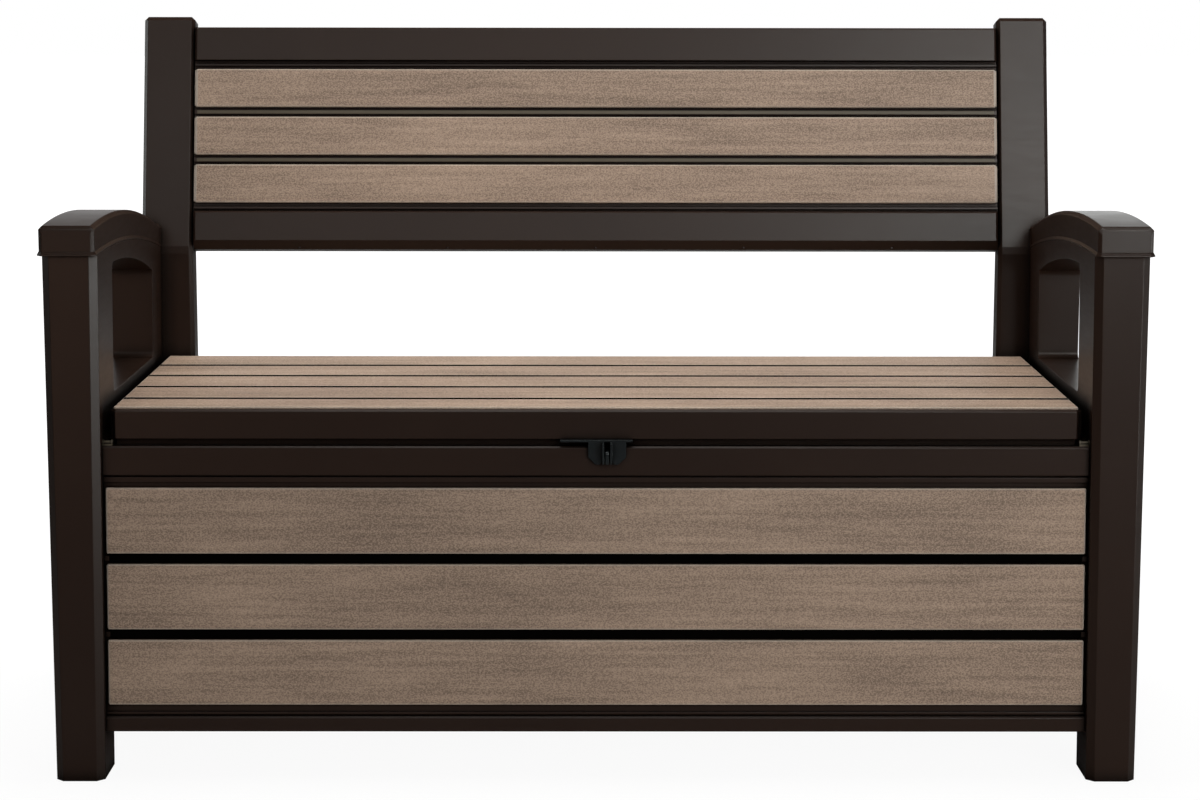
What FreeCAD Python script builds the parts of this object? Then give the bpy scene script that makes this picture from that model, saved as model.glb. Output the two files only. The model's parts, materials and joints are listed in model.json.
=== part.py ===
import FreeCAD, Part
import os
import re
import Sketcher

# Outdoor storage bench: a moulded resin box with a hinged seat, arm frames and a reclined backrest.
# Millimetres, +Z up, front towards -Y, origin on the floor under the middle of the bench.

SIZES = {
    # Whole bench
    "overall_width": 1310,
    "overall_depth": 599.5,
    "back_height": 905,
    "seat_height": 452,
    "ground_clearance": 57,
    "shell_wall": 3,
    "fit_gap": 0.3,
    # Side frames: front leg, arm beam, stile and lower wall
    "leg_foot_width": 58.3,
    "leg_draft": 0.62,
    "leg_depth": 74,
    "leg_chamfer": 9,
    "side_recess": 10,
    "beam_depth": 14,
    "opening_front": 106,
    "stile_width": 79,
    "sill_rise": 7,
    "opening_peak": 617,
    "opening_peak_back": 106,
    "opening_radius": 1150,
    "opening_corner": 8,
    "groove_width": 6,
    "groove_depth": 1.2,
    # Arm caps
    "cap_side": 2.4,
    "cap_front": 2,
    "cap_lip": 2,
    "lip_height": 4,
    "cap_wall": 4,
    "cap_chamfer": 6,
    "lip_peak": 637,
    "lip_peak_back": 92,
    "lip_radius": 2034,
    "cap_peak": 674.4,
    "cap_peak_back": 114,
    "cap_radius": 1584,
    # Back posts
    "post_inset": 38.2,
    "post_width": 68.6,
    "post_depth": 34,
    "rear_leg_depth": 38.5,
    "post_wall": 3.5,
    "post_chamfer": 5,
    "recline": 13,
    "bend_height": 594,
    # Leg plugs
    "plug_height": 22,
    # Lid
    "lid_setback": 22,
    "lid_side_gap": 8.4,
    "lid_rear_gap": 12,
    "lid_rim_drop": 2,
    "lid_rim_front": 5,
    "lid_rim_side": 3,
    "lid_skirt": 35,
    "lid_wall": 3,
    "lid_corner": 7,
    "lid_edge": 2.5,
    "lid_rib_depth": 18,
    "lid_rib_pitch": 215,
    "lid_rib_setback": 16,
    # Seat planks
    "seat_plank_thick": 6,
    "seat_first_width": 64.5,
    "seat_gap": 10.5,
    "seat_rib_gap": 0.5,
    "seat_rib_drop": 0.3,
    "seat_field_front": 2.8,
    "seat_field_rear": 2,
    "seat_field_side": 0.8,
    "plank_edge": 1,
    # Front panel
    "panel_setback": 18,
    "panel_wall": 3,
    "panel_end_gap": 0.5,
    "lid_lift_gap": 8.5,
    "top_rail_height": 35,
    "bottom_rail_height": 18.5,
    "rail_edge": 2,
    "front_gap_top": 15.5,
    "front_gap_bottom": 14.5,
    "front_plank_gap": 13,
    "front_plank_thick": 5,
    "front_plank_end": 3.5,
    "front_rib_height": 6,
    "front_rib_setback": 3,
    "upstand_setback": 11,
    "ledge_depth": 22,
    # Rear panel and floor
    "rear_panel_drop": 12,
    "rear_rib_depth": 12,
    "floor_thick": 3.5,
    "floor_rib_depth": 12,
    # Backrest, measured up the reclined front faces of the posts from their bend
    "back_end_gap": 0.8,
    "back_end_bevel": 2.8,
    "back_proud": 4,
    "back_wall": 3,
    "back_top_drop": 15.6,
    "back_top_rail": 45,
    "back_bottom_edge": 1.6,
    "back_bottom_rail": 51,
    "back_bottom_bevel": 11,
    "back_gap_top": 12,
    "back_gap_bottom": 11.6,
    "back_plank_gap": 13.2,
    "back_plank_thick": 5,
    "back_plank_setback": 1,
    "back_plank_end": 0.3,
    "back_rib_height": 6,
    "back_rib_setback": 3.5,
    "back_flange_depth": 26,
    "back_brace_pitch": 200,
    "tenon_inset": 7,
    "tenon_height": 24,
    "tenon_depth": 14,
    "tenon_length": 26,
    "tenon_root": 15,
    "tenon_gap": 0.25,
    # Lid hinges
    "hinge_drop": 15,
    "hinge_offset": 23,
    "hinge_spacing": 760,
    "hinge_width": 56,
    "knuckle_width": 20,
    "knuckle_radius": 5.5,
    "knuckle_gap": 0.5,
    "pin_radius": 3,
    "pin_clearance": 0.06,
    "pin_head_radius": 5,
    "pin_head_length": 2,
    "leaf_thick": 2.5,
    "leaf_length": 42,
    "bracket_web": 5,
    "bracket_drop": 25,
    "bracket_plate_height": 34,
    # Screws and bolts
    "screw_radius": 2,
    "screw_head_radius": 4,
    "screw_head_height": 2.2,
    "screw_length": 9,
    "screw_clearance": 0.1,
    "screw_inset": 12,
    "back_screw_bite": 8,
    "bolt_radius": 3,
    "bolt_head_radius": 7,
    "bolt_head_height": 4,
    "bolt_grip": 12,
    "bolt_low": 150,
    "bolt_high": 330,
    "bolt_inboard": 15,
    # Lock
    "lock_offset": 13,
    "hasp_width": 45,
    "hasp_height": 27,
    "hasp_thick": 4,
    "hasp_stand_off": 1,
    "hasp_slot": 7,
    "hasp_flare": 5,
    "hasp_corner": 9,
    "hasp_ear": 2.5,
    "hasp_ear_depth": 11,
    "hasp_plate_width": 86,
    "hasp_plate_thick": 2.5,
    "staple_thick": 4,
    "staple_reach": 16,
    "staple_height": 17,
    "staple_base_width": 18,
    "lock_hole_radius": 3.5,
    "lock_hole_forward": 11,
    "lock_hole_drop": 12,
    # Corner pegs of the front panel
    "peg_radius": 2.2,
    "peg_flange_radius": 3.4,
    "peg_flange": 1.5,
    "peg_length": 12,
    "peg_rise": 4,
    "peg_tab": 2.5,
}

doc = FreeCAD.newDocument("storage_bench")
sheet = doc.addObject("Spreadsheet::Sheet", "Sizes")
for row, (name, number) in enumerate(SIZES.items(), start=1):
    sheet.set(f"A{row}", name)
    sheet.set(f"B{row}", str(number))
    sheet.setAlias(f"B{row}", name)
doc.recompute()


def bind(text):
    """Turn an expression over size names into one over the sheet's cells."""
    def cell(word):
        return "Sizes." + word[0] if word[0] in SIZES else word[0]

    return re.sub(r"[a-z][a-z_]+", cell, str(text))


def value(text):
    """The present number of an expression over size names."""
    return float(sheet.evalExpression(bind(text)))


# Places worked out from the sizes, as expressions

LEG_FRONT = "(-overall_depth / 2 + cap_front + cap_lip)"
LEG_OUTER = "(overall_width / 2 - cap_side - cap_lip)"
LEG_REAR = f"({LEG_FRONT} + leg_depth)"
LEAN = "tan(recline * 1deg)"
DRAFT = "tan(leg_draft * 1deg)"
REACH_BACK = (f"((back_height - bend_height) * {LEAN} + post_depth * cos(recline * 1deg)"
              " - post_chamfer * sin(recline * 1deg))")
POST_FRONT = f"(overall_depth / 2 - {REACH_BACK})"
POST_OUTER = f"({LEG_OUTER} - post_inset)"
POST_INNER = f"({POST_OUTER} - post_width)"
FRAME_REAR = f"({POST_FRONT} - fit_gap)"
SILL = "(seat_height + sill_rise)"
PANEL_FACE = f"({LEG_FRONT} + panel_setback)"
PANEL_SEAT = f"({PANEL_FACE} + front_plank_thick)"
PANEL_BACK = f"({PANEL_SEAT} + panel_wall)"
LID_FRONT = f"({LEG_FRONT} + lid_setback)"
LID_REAR = f"({POST_FRONT} - lid_rear_gap)"
LID_TOP = "(seat_height - lid_rim_drop)"
LID_BOTTOM = f"({LID_TOP} - lid_skirt)"
DECK_TOP = "(seat_height - seat_plank_thick)"
DECK_BOTTOM = f"({DECK_TOP} - lid_wall)"
REAR_FACE = f"({FRAME_REAR} - panel_wall)"
REAR_TOP = "(seat_height - rear_panel_drop)"
HINGE_Y = f"({POST_FRONT} - hinge_offset)"
HINGE_Z = "(seat_height - hinge_drop)"
FLOOR_UNDER = "(ground_clearance + panel_wall)"
BACK_END = f"({POST_INNER} - back_end_gap)"
BACK_FACE = "(-back_proud)"
BACK_SEAT = f"({BACK_FACE} + back_plank_setback + back_plank_thick)"
BACK_SHEET = f"({BACK_SEAT} + back_wall)"
POST_LENGTH = "((back_height - bend_height) / cos(recline * 1deg))"
BACK_TOP = f"({POST_LENGTH} - back_top_drop)"
BACK_RAIL_LOW = f"({BACK_TOP} - back_top_rail)"
BACK_FIELD_LOW = "(back_bottom_edge + back_bottom_rail)"
TENON_MIDDLES = (f"({BACK_TOP} - back_top_rail / 2)",
                 "(back_bottom_edge + (back_bottom_bevel + back_bottom_rail) / 2)")
BACK_SCREW_X = f"({BACK_END} + tenon_length / 2)"
BOLT_X = f"({POST_OUTER} - bolt_inboard)"
BOLT_HEIGHTS = ("bolt_low", "bolt_high")
HINGE_MIDDLES = ("(-hinge_spacing / 2)", "(hinge_spacing / 2)")
BRACKET_FOOT = f"({HINGE_Z} - bracket_drop)"
BRACKET_SCREW_Z = f"({BRACKET_FOOT} - bracket_plate_height / 2 - bracket_web / 2)"
LEAF_SCREW_Y = f"({HINGE_Y} - (leaf_length + knuckle_radius) / 2)"
LEAF_SCREW_BITE = "(screw_length - leaf_thick - lid_wall)"
LOCK_HOLE_Y = f"({PANEL_FACE} - lock_hole_forward)"
TOP_RAIL_TOP = f"({LID_BOTTOM} - lid_lift_gap)"
TOP_RAIL_LOW = f"({TOP_RAIL_TOP} - top_rail_height)"
FRONT_FIELD_LOW = "(ground_clearance + bottom_rail_height)"
LOCK_HOLE_Z = f"({TOP_RAIL_TOP} - lock_hole_drop)"
LOCK_HOLE = (LOCK_HOLE_Y, LOCK_HOLE_Z, "lock_hole_radius")
SCREW_HOLE = "screw_radius + screw_clearance"
STAPLE_LOW = f"({LOCK_HOLE_Z} - staple_height / 2)"
ALL_WIDE = "-overall_width"
ALL_WIDE_HALF = "-overall_width / 2"
TWICE_WIDE = "2 * overall_width"
ALL_DEEP = "-overall_depth"
TWICE_DEEP = "2 * overall_depth"
SIDES = ((-1, "left"), (1, "right"))
PLANK_ROWS = 3
SEAT_PLANKS = 5
REAR_RIBS = 5
FLOOR_RIBS = 3
LID_RIBS = 2
BACK_BRACES = 2


def inner_face(height):
    """X of a side frame's inner face, which leans outwards towards the foot."""
    return f"({LEG_OUTER} - leg_foot_width - ({height}) * {DRAFT})"


LID_HALF = f"({inner_face('seat_height')} - lid_side_gap)"
SEAT_HALF = f"({LID_HALF} - lid_rim_side - seat_field_side)"


def plank_rows(high, low, gap):
    """Lower and upper edges of equal planks, from the top down, with a gap between each two."""
    height = f"(({high} - {low} - {PLANK_ROWS - 1} * {gap}) / {PLANK_ROWS})"
    rows = []
    for row in range(PLANK_ROWS):
        top = f"({high} - {row} * ({height} + {gap}))"
        rows.append((f"({top} - {height})", top))
    return rows


FRONT_ROWS = plank_rows(f"({TOP_RAIL_LOW} - front_gap_top)",
                        f"({FRONT_FIELD_LOW} + front_gap_bottom)", "front_plank_gap")
BACK_ROWS = plank_rows(f"({BACK_RAIL_LOW} - back_gap_top)",
                       f"({BACK_FIELD_LOW} + back_gap_bottom)", "back_plank_gap")
FRONT_GAPS = [f"({low} - front_plank_gap / 2)" for low, _ in FRONT_ROWS[:-1]]
BACK_GAPS = [f"({low} - back_plank_gap / 2)" for low, _ in BACK_ROWS[:-1]]


def seat_rows():
    """Front and rear edges of the seat planks, a narrower one at the front."""
    start = f"({LID_FRONT} + lid_rim_front + seat_field_front)"
    end = f"({LID_REAR} - seat_field_rear)"
    width = f"(({end} - {start} - seat_first_width) / {SEAT_PLANKS - 1} - seat_gap)"
    rows = [(start, f"({start} + seat_first_width)")]
    for step in range(SEAT_PLANKS - 1):
        low = f"({rows[0][1]} + seat_gap + {step} * ({width} + seat_gap))"
        rows.append((low, f"({low} + {width})"))
    return rows


def arc_height(peak, back, radius, y):
    """Height at y of an arc whose highest point is at peak, that far behind the leg's front."""
    return f"(({peak}) - {radius} + sqrt({radius}^2 - ({y} - {LEG_FRONT} - {back})^2))"


# Sketches, pads and pockets

PLANES = {"XY": "XY_Plane", "XZ": "XZ_Plane", "YZ": "YZ_Plane"}


def new_body(name):
    return doc.addObject("PartDesign::Body", name)


def sketch_on(body, plane, offset):
    """An empty sketch on one of the body's own origin planes, moved along the plane's normal."""
    sketch = body.newObject("Sketcher::SketchObject", body.Name + "_outline")
    origin = [item for item in body.Origin.OriginFeatures if item.Role == PLANES[plane]][0]
    sketch.AttachmentSupport = [(origin, "")]
    sketch.MapMode = "FlatFace"
    sketch.setExpression("AttachmentOffset.Base.z", bind(offset))
    return sketch


def arc_between(start, end, radius):
    """Arc from start to end; a positive radius bulges to the left of the way. Says which end is first."""
    middle = (start + end) * 0.5
    along = end - start
    left = FreeCAD.Vector(-along.y, along.x, 0)
    left.normalize()
    rise = max(radius * radius - along.Length ** 2 / 4, 0) ** 0.5
    centre = middle - left * rise if radius > 0 else middle + left * rise
    circle = Part.Circle(centre, FreeCAD.Vector(0, 0, 1), abs(radius))
    turned = radius > 0
    first, last = (end, start) if turned else (start, end)
    arc = Part.ArcOfCircle(circle, circle.parameter(first), circle.parameter(last))
    return arc, turned


def draw(sketch, corners):
    """A closed outline. A corner is (x, y), or (x, y, radius) where an arc leaves it."""
    points = [FreeCAD.Vector(value(corner[0]), value(corner[1]), 0) for corner in corners]
    count = len(corners)
    ends = []
    for index, corner in enumerate(corners):
        start = points[index]
        end = points[(index + 1) % count]
        if len(corner) == 3:
            shape, turned = arc_between(start, end, value(corner[2]))
        else:
            shape, turned = Part.LineSegment(start, end), False
        edge = sketch.addGeometry(shape, False)
        ends.append((edge, 2, 1) if turned else (edge, 1, 2))
    for index, corner in enumerate(corners):
        edge, begin, finish = ends[index]
        following, following_begin, _ = ends[(index + 1) % count]
        sketch.addConstraint(Sketcher.Constraint("Coincident", edge, finish, following, following_begin))
        point = points[index]
        for kind, text, number in (("DistanceX", corner[0], point.x), ("DistanceY", corner[1], point.y)):
            place = sketch.addConstraint(Sketcher.Constraint(kind, -1, 1, edge, begin, number))
            sketch.setExpression(f"Constraints[{place}]", bind(text))
        if len(corner) == 3:
            place = sketch.addConstraint(Sketcher.Constraint("Radius", edge, abs(value(corner[2]))))
            sketch.setExpression(f"Constraints[{place}]", bind(f"abs({corner[2]})"))


def draw_circle(sketch, x, y, radius):
    centre = FreeCAD.Vector(value(x), value(y), 0)
    edge = sketch.addGeometry(Part.Circle(centre, FreeCAD.Vector(0, 0, 1), value(radius)), False)
    for kind, text, number in (("DistanceX", x, centre.x), ("DistanceY", y, centre.y)):
        place = sketch.addConstraint(Sketcher.Constraint(kind, -1, 1, edge, 3, number))
        sketch.setExpression(f"Constraints[{place}]", bind(text))
    place = sketch.addConstraint(Sketcher.Constraint("Radius", edge, value(radius)))
    sketch.setExpression(f"Constraints[{place}]", bind(radius))


def outline_all(sketch, outlines):
    """Draw several outlines: a list of corners each, or a circle as (x, y, radius)."""
    for outline in outlines:
        if isinstance(outline, tuple):
            draw_circle(sketch, *outline)
        else:
            draw(sketch, outline)


def extrude(body, plane, start, length, outlines, kind):
    """Add or take away the outlines from start over length, towards the plane's positive axis."""
    towards_normal = kind == "PartDesign::Pad"
    flipped = plane == "XZ"
    far = towards_normal == flipped
    offset = f"({start}) + ({length})" if far else start
    sketch = sketch_on(body, plane, f"-({offset})" if flipped else offset)
    outline_all(sketch, outlines)
    before = body.Shape.Volume if body.Tip else 0
    feature = body.newObject(kind, body.Name + "_" + kind.split("::")[1].lower())
    feature.Profile = sketch
    feature.setExpression("Length", bind(length))
    doc.recompute()
    change = body.Shape.Volume - before
    if (change > 0) != towards_normal:
        raise RuntimeError(f"{feature.Name} changed the volume of {body.Name} by {change}")
    return feature


def pad(body, plane, start, length, *outlines):
    return extrude(body, plane, start, length, outlines, "PartDesign::Pad")


def pocket(body, plane, start, length, *outlines):
    return extrude(body, plane, start, length, outlines, "PartDesign::Pocket")


def box(low_x, high_x, low_y, high_y):
    """Corners of an upright rectangle in a sketch."""
    return [(low_x, low_y), (high_x, low_y), (high_x, high_y), (low_x, high_y)]


def pick_edges(body, test):
    """Names of the body's edges for which test(first end, last end) holds."""
    names = []
    for number, edge in enumerate(body.Shape.Edges, start=1):
        ends = [vertex.Point for vertex in edge.Vertexes]
        if len(ends) == 2 and test(*ends):
            names.append(f"Edge{number}")
    return names


def dress(body, kind, test, size):
    """Round or bevel the picked edges of the body."""
    tip = body.Tip
    feature = body.newObject(kind, body.Name + "_" + kind.split("::")[1].lower())
    feature.Base = (tip, pick_edges(body, test))
    feature.setExpression("Radius" if kind.endswith("Fillet") else "Size", bind(size))
    doc.recompute()
    return feature


def chamfer(body, size, test):
    return dress(body, "PartDesign::Chamfer", test, size)


def fillet(body, size, test):
    return dress(body, "PartDesign::Fillet", test, size)


def near(first, second, room=0.01):
    return abs(first - second) < room


def runs_along_x(first, last):
    """Whether an edge between two points runs along X."""
    return near(first.y, last.y) and near(first.z, last.z)


def side_span(side, low, high):
    """Start in X of a span between two distances from the middle plane, on one side of the bench."""
    return low if side > 0 else f"-({high})"


def flip(side, text):
    return f"{side} * ({text})"


def mirror(side, corners):
    """Corners drawn for the right side, put on either side of the bench."""
    return [(flip(side, x), z) for x, z in corners]


def screw_pair(middle):
    """X of the two screws of a hinge piece."""
    return [f"({middle} - hinge_width / 2 + screw_inset)", f"({middle} + hinge_width / 2 - screw_inset)"]


def reclined(depth, along):
    """Y and Z of a point behind the reclined front plane of the posts, measured up from their bend."""
    lean = "recline * 1deg"
    return (f"({POST_FRONT} + ({along}) * sin({lean}) + ({depth}) * cos({lean}))",
            f"(bend_height + ({along}) * cos({lean}) - ({depth}) * sin({lean}))")


nodes = {}


def finish(name, item):
    """Give a finished piece its own name."""
    item.Label = name
    nodes[name] = item
    return item


def group(name, items):
    """Several separate solids of one kind in one node."""
    holder = doc.addObject("Part::Compound", name)
    holder.Links = items
    return finish(name, holder)


def recline_body(body):
    """Put a piece drawn upright on the reclined front plane of the posts, at their bend."""
    body.setExpression("Placement.Rotation.Axis.x", "1")
    body.setExpression("Placement.Rotation.Axis.y", "0")
    body.setExpression("Placement.Rotation.Axis.z", "0")
    body.setExpression("Placement.Rotation.Angle", bind("-recline"))
    body.setExpression("Placement.Base.y", bind(POST_FRONT))
    body.setExpression("Placement.Base.z", bind("bend_height"))


# Outline behind the front faces of the posts: upright up to the bend, reclined above it

FAR = "overall_depth"


def behind_posts(gap):
    """Corners of the region behind the posts' front line, moved forward by a gap."""
    line_top = "(2 * back_height)"
    front = f"({POST_FRONT} - {gap})"
    top = f"({front} + ({line_top} - bend_height) * {LEAN})"
    return [(front, "-back_height"), (front, "bend_height"), (top, line_top), (f"{top} + {FAR}", line_top),
            (f"{top} + {FAR}", "-back_height")]


def lip_at(y, lift="0"):
    return arc_height(f"lip_peak + {lift}", "lip_peak_back", "lip_radius", y)


def side_frame(side, name):
    """Front leg, arm beam, stile and lower wall in one hollow moulding, with an arched arm opening."""
    body = new_body(name)
    rear = f"({FRAME_REAR} + back_height * {LEAN})"
    inner_top = inner_face("lip_peak")
    opening_low = f"({LEG_FRONT} + opening_front)"
    opening_high = f"({POST_FRONT} - stile_width)"
    outline = [(LEG_FRONT, "0"), (LEG_FRONT, lip_at(LEG_FRONT), "lip_radius"), (rear, lip_at(rear)),
               (rear, "ground_clearance"), (LEG_REAR, "ground_clearance"), (LEG_REAR, "0")]
    pad(body, "YZ", side_span(side, inner_top, LEG_OUTER), f"{LEG_OUTER} - {inner_top}", outline)
    clear = f"({inner_top} - shell_wall)"
    wedge = mirror(side, [(inner_face("0"), "0"), (clear, "0"), (clear, "lip_peak"), (inner_top, "lip_peak")])
    pocket(body, "XZ", ALL_DEEP, TWICE_DEEP, wedge)
    front = value(LEG_FRONT)
    long_enough = value("leg_foot_width")
    chamfer(body, "leg_chamfer",
            lambda a, b: near(a.y, front) and near(b.y, front) and abs(a.z - b.z) > long_enough)
    pocket(body, "YZ", ALL_WIDE, TWICE_WIDE, behind_posts("fit_gap"))

    def arch(y, lift="0"):
        return arc_height(f"opening_peak + {lift}", "opening_peak_back", "opening_radius", y)

    opening = [(opening_low, SILL), (opening_low, arch(opening_low), "opening_radius"),
               (opening_high, arch(opening_high)), (opening_high, SILL)]
    pocket(body, "YZ", ALL_WIDE, TWICE_WIDE, opening)
    recess = [(LEG_REAR, "0"), (LEG_REAR, lip_at(LEG_REAR, "-beam_depth"), "lip_radius"),
              (rear, lip_at(rear, "-beam_depth")), (rear, "0")]
    pocket(body, "YZ", side_span(side, f"{LEG_OUTER} - side_recess", LEG_OUTER), "side_recess", recess)
    y_low = value(opening_low)
    y_high = value(opening_high)
    fillet(body, "opening_corner",
           lambda a, b: runs_along_x(a, b) and (near(a.y, y_low) or near(a.y, y_high)))

    skin = f"({LEG_OUTER} - side_recess)"

    def room(low_y, high_y, low_z, high_z, outer, inset="0"):
        """A cavity between the walls, parallel to the leaning inner face."""
        wall = f"(shell_wall + {inset})"
        sides = [(f"{inner_face(low_z)} + {wall}", low_z), (f"{outer} - {wall}", low_z),
                 (f"{outer} - {wall}", high_z), (f"{inner_face(high_z)} + {wall}", high_z)]
        pocket(body, "XZ", low_y, f"{high_y} - ({low_y})", mirror(side, sides))

    leg_top = f"({lip_at(LEG_FRONT)} - shell_wall)"
    chamfer_end = f"({LEG_FRONT} + leg_chamfer + shell_wall)"
    room(chamfer_end, f"{LEG_REAR} - shell_wall", "0", leg_top, LEG_OUTER)
    room(f"{LEG_FRONT} + shell_wall", chamfer_end, "0", leg_top, LEG_OUTER, "leg_chamfer")
    wall_rear = f"({FRAME_REAR} - shell_wall)"
    sill_under = f"({SILL} - shell_wall)"
    room(LEG_REAR, wall_rear, "ground_clearance", sill_under, skin)
    overlap = f"({sill_under} - shell_wall)"
    room(LEG_REAR, f"{opening_low} - shell_wall", overlap, f"{lip_at(opening_low)} - shell_wall", skin)
    room(f"{opening_high} + shell_wall", wall_rear, overlap, f"{lip_at(wall_rear)} - shell_wall", skin)
    beam_low = f"({opening_low} - 2 * shell_wall)"
    beam_high = f"({opening_high} + 2 * shell_wall)"
    beam = [(beam_low, arch(beam_low, "shell_wall"), "opening_radius"),
            (beam_high, arch(beam_high, "shell_wall")),
            (beam_high, lip_at(beam_high, "-2 * shell_wall"), "-lip_radius"),
            (beam_low, lip_at(beam_low, "-2 * shell_wall"))]
    beam_inner = f"({inner_face(SILL)} + shell_wall)"
    beam_outer = f"({skin} - shell_wall)"
    pocket(body, "YZ", side_span(side, beam_inner, beam_outer), f"{beam_outer} - {beam_inner}", beam)
    grooves = []
    for height in FRONT_GAPS:
        grooves.append(box(f"{LEG_REAR} + leg_chamfer", f"{FRAME_REAR} - leg_chamfer",
                           f"{height} - groove_width / 2", f"{height} + groove_width / 2"))
    pocket(body, "YZ", side_span(side, f"{skin} - groove_depth", skin), "groove_depth", *grooves)
    holes = [(flip(side, BOLT_X), height, "bolt_radius + screw_clearance") for height in BOLT_HEIGHTS]
    pocket(body, "XZ", f"{FRAME_REAR} - 2 * shell_wall", "3 * shell_wall", *holes)
    return finish(name, body)


def arm_cap(side, name):
    """Curved cover on the arm beam, hollow underneath, with a flared lip along its lower edge."""
    body = new_body(name)
    front = f"({LEG_FRONT} - cap_front)"
    rear = f"({FRAME_REAR} + back_height * {LEAN})"
    outer = f"({LEG_OUTER} + cap_side)"
    inner = f"({inner_face('lip_peak')} + cap_lip)"

    def top(y, drop="0"):
        return arc_height(f"cap_peak - {drop}", "cap_peak_back", "cap_radius", y)

    outline = [(front, lip_at(front, "fit_gap")), (front, top(front), "cap_radius"), (rear, top(rear)),
               (rear, lip_at(rear, "fit_gap"), "-lip_radius")]
    pad(body, "YZ", side_span(side, inner, outer), f"{outer} - {inner}", outline)
    face = value(front)
    upper = (value(top(front)) + value(lip_at(front))) / 2
    rear_upper = (value(top(rear)) + value(lip_at(rear))) / 2

    def upper_edge(a, b):
        ends = sorted((a, b), key=lambda point: point.y)
        if not near(ends[0].y, face) or ends[0].z < upper:
            return False
        return near(ends[1].y, face) or ends[1].z > rear_upper

    chamfer(body, "cap_chamfer", lambda a, b: upper_edge(a, b) or (near(a.y, face) and near(b.y, face)
                                                                 and not near(a.z, b.z)))
    lip_front = f"({front} - cap_lip)"
    band = [(lip_front, lip_at(lip_front, "fit_gap")),
            (lip_front, lip_at(lip_front, "fit_gap + lip_height"), "lip_radius"),
            (rear, lip_at(rear, "fit_gap + lip_height")), (rear, lip_at(rear, "fit_gap"), "-lip_radius")]
    pad(body, "YZ", side_span(side, f"{inner} - cap_lip", f"{outer} + cap_lip"),
        f"{outer} - {inner} + 2 * cap_lip", band)
    lip_face = value(lip_front)
    chamfer(body, "cap_chamfer",
            lambda a, b: near(a.y, lip_face) and near(b.y, lip_face) and not near(a.z, b.z))
    room_front = f"({front} + cap_wall)"
    room_rear = f"({rear} - cap_wall)"
    room = [(room_front, "lip_peak / 2"), (room_front, top(room_front, "cap_wall"), "cap_radius"),
            (room_rear, top(room_rear, "cap_wall")), (room_rear, "lip_peak / 2")]
    pocket(body, "YZ", side_span(side, f"{inner} + cap_wall", f"{outer} - cap_wall"),
           f"{outer} - {inner} - 2 * cap_wall", room)
    pocket(body, "YZ", ALL_WIDE, TWICE_WIDE, behind_posts("fit_gap"))
    return finish(name, body)


def back_post(side, name):
    """Hollow upright: rear leg below the bend, reclined above it, with slots for the backrest's tenons."""
    body = new_body(name)

    def outline(wall):
        """Side view of the post, drawn in by a wall."""
        rear = f"(rear_leg_depth - {wall})"
        slope = f"((post_depth - {wall}) / cos(recline * 1deg))"
        return [(f"{POST_FRONT} + {wall}", "0"),
                (f"{POST_FRONT} + {wall}", f"bend_height + ({wall} - {wall} / cos(recline * 1deg)) / {LEAN}"),
                reclined(wall, f"{POST_LENGTH} - {wall}"),
                reclined(f"post_depth - {wall}", f"{POST_LENGTH} - {wall}"),
                (f"{POST_FRONT} + {rear}", f"bend_height + ({rear} - {slope}) / {LEAN}"),
                (f"{POST_FRONT} + {rear}", "0")]

    pad(body, "YZ", side_span(side, POST_INNER, POST_OUTER), "post_width", outline("0"))
    chamfer(body, "post_chamfer", lambda a, b: max(a.z, b.z) > value("post_chamfer"))
    pocket(body, "YZ", side_span(side, f"{POST_INNER} + post_wall", f"{POST_OUTER} - post_wall"),
           "post_width - 2 * post_wall", outline("post_wall"))
    slots = []
    for middle in TENON_MIDDLES:
        low = f"({middle} - tenon_height / 2 - tenon_gap)"
        high = f"({middle} + tenon_height / 2 + tenon_gap)"
        near_side = "(tenon_inset - tenon_gap)"
        far_side = "(tenon_inset + tenon_depth + tenon_gap)"
        slots.append([reclined(near_side, low), reclined(far_side, low), reclined(far_side, high),
                      reclined(near_side, high)])
    pocket(body, "YZ", side_span(side, f"{POST_INNER} - post_wall", f"{POST_INNER} + 2 * post_wall"),
           "3 * post_wall", *slots)
    holes = [(flip(side, BOLT_X), height, "bolt_radius + screw_clearance") for height in BOLT_HEIGHTS]
    pocket(body, "XZ", f"{POST_FRONT} - post_wall", "rear_leg_depth + 2 * post_wall", *holes)
    drills = []
    for middle in TENON_MIDDLES:
        drill = doc.addObject("Part::Cylinder", name + "_screw_hole")
        drill.setExpression("Radius", bind(SCREW_HOLE))
        drill.setExpression("Height", bind("2 * post_wall"))
        depth, rise = reclined("post_depth - 1.5 * post_wall", middle)
        drill.setExpression("Placement.Rotation.Axis.x", "1")
        drill.setExpression("Placement.Rotation.Axis.y", "0")
        drill.setExpression("Placement.Rotation.Axis.z", "0")
        drill.setExpression("Placement.Rotation.Angle", bind("-90 - recline"))
        drill.setExpression("Placement.Base.x", bind(flip(side, BACK_SCREW_X)))
        drill.setExpression("Placement.Base.y", bind(depth))
        drill.setExpression("Placement.Base.z", bind(rise))
        drills.append(drill)
    holder = doc.addObject("Part::Compound", name + "_screw_holes")
    holder.Links = drills
    drilled = doc.addObject("Part::Cut", name + "_drilled")
    drilled.Base = body
    drilled.Tool = holder
    return finish(name, drilled)


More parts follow.
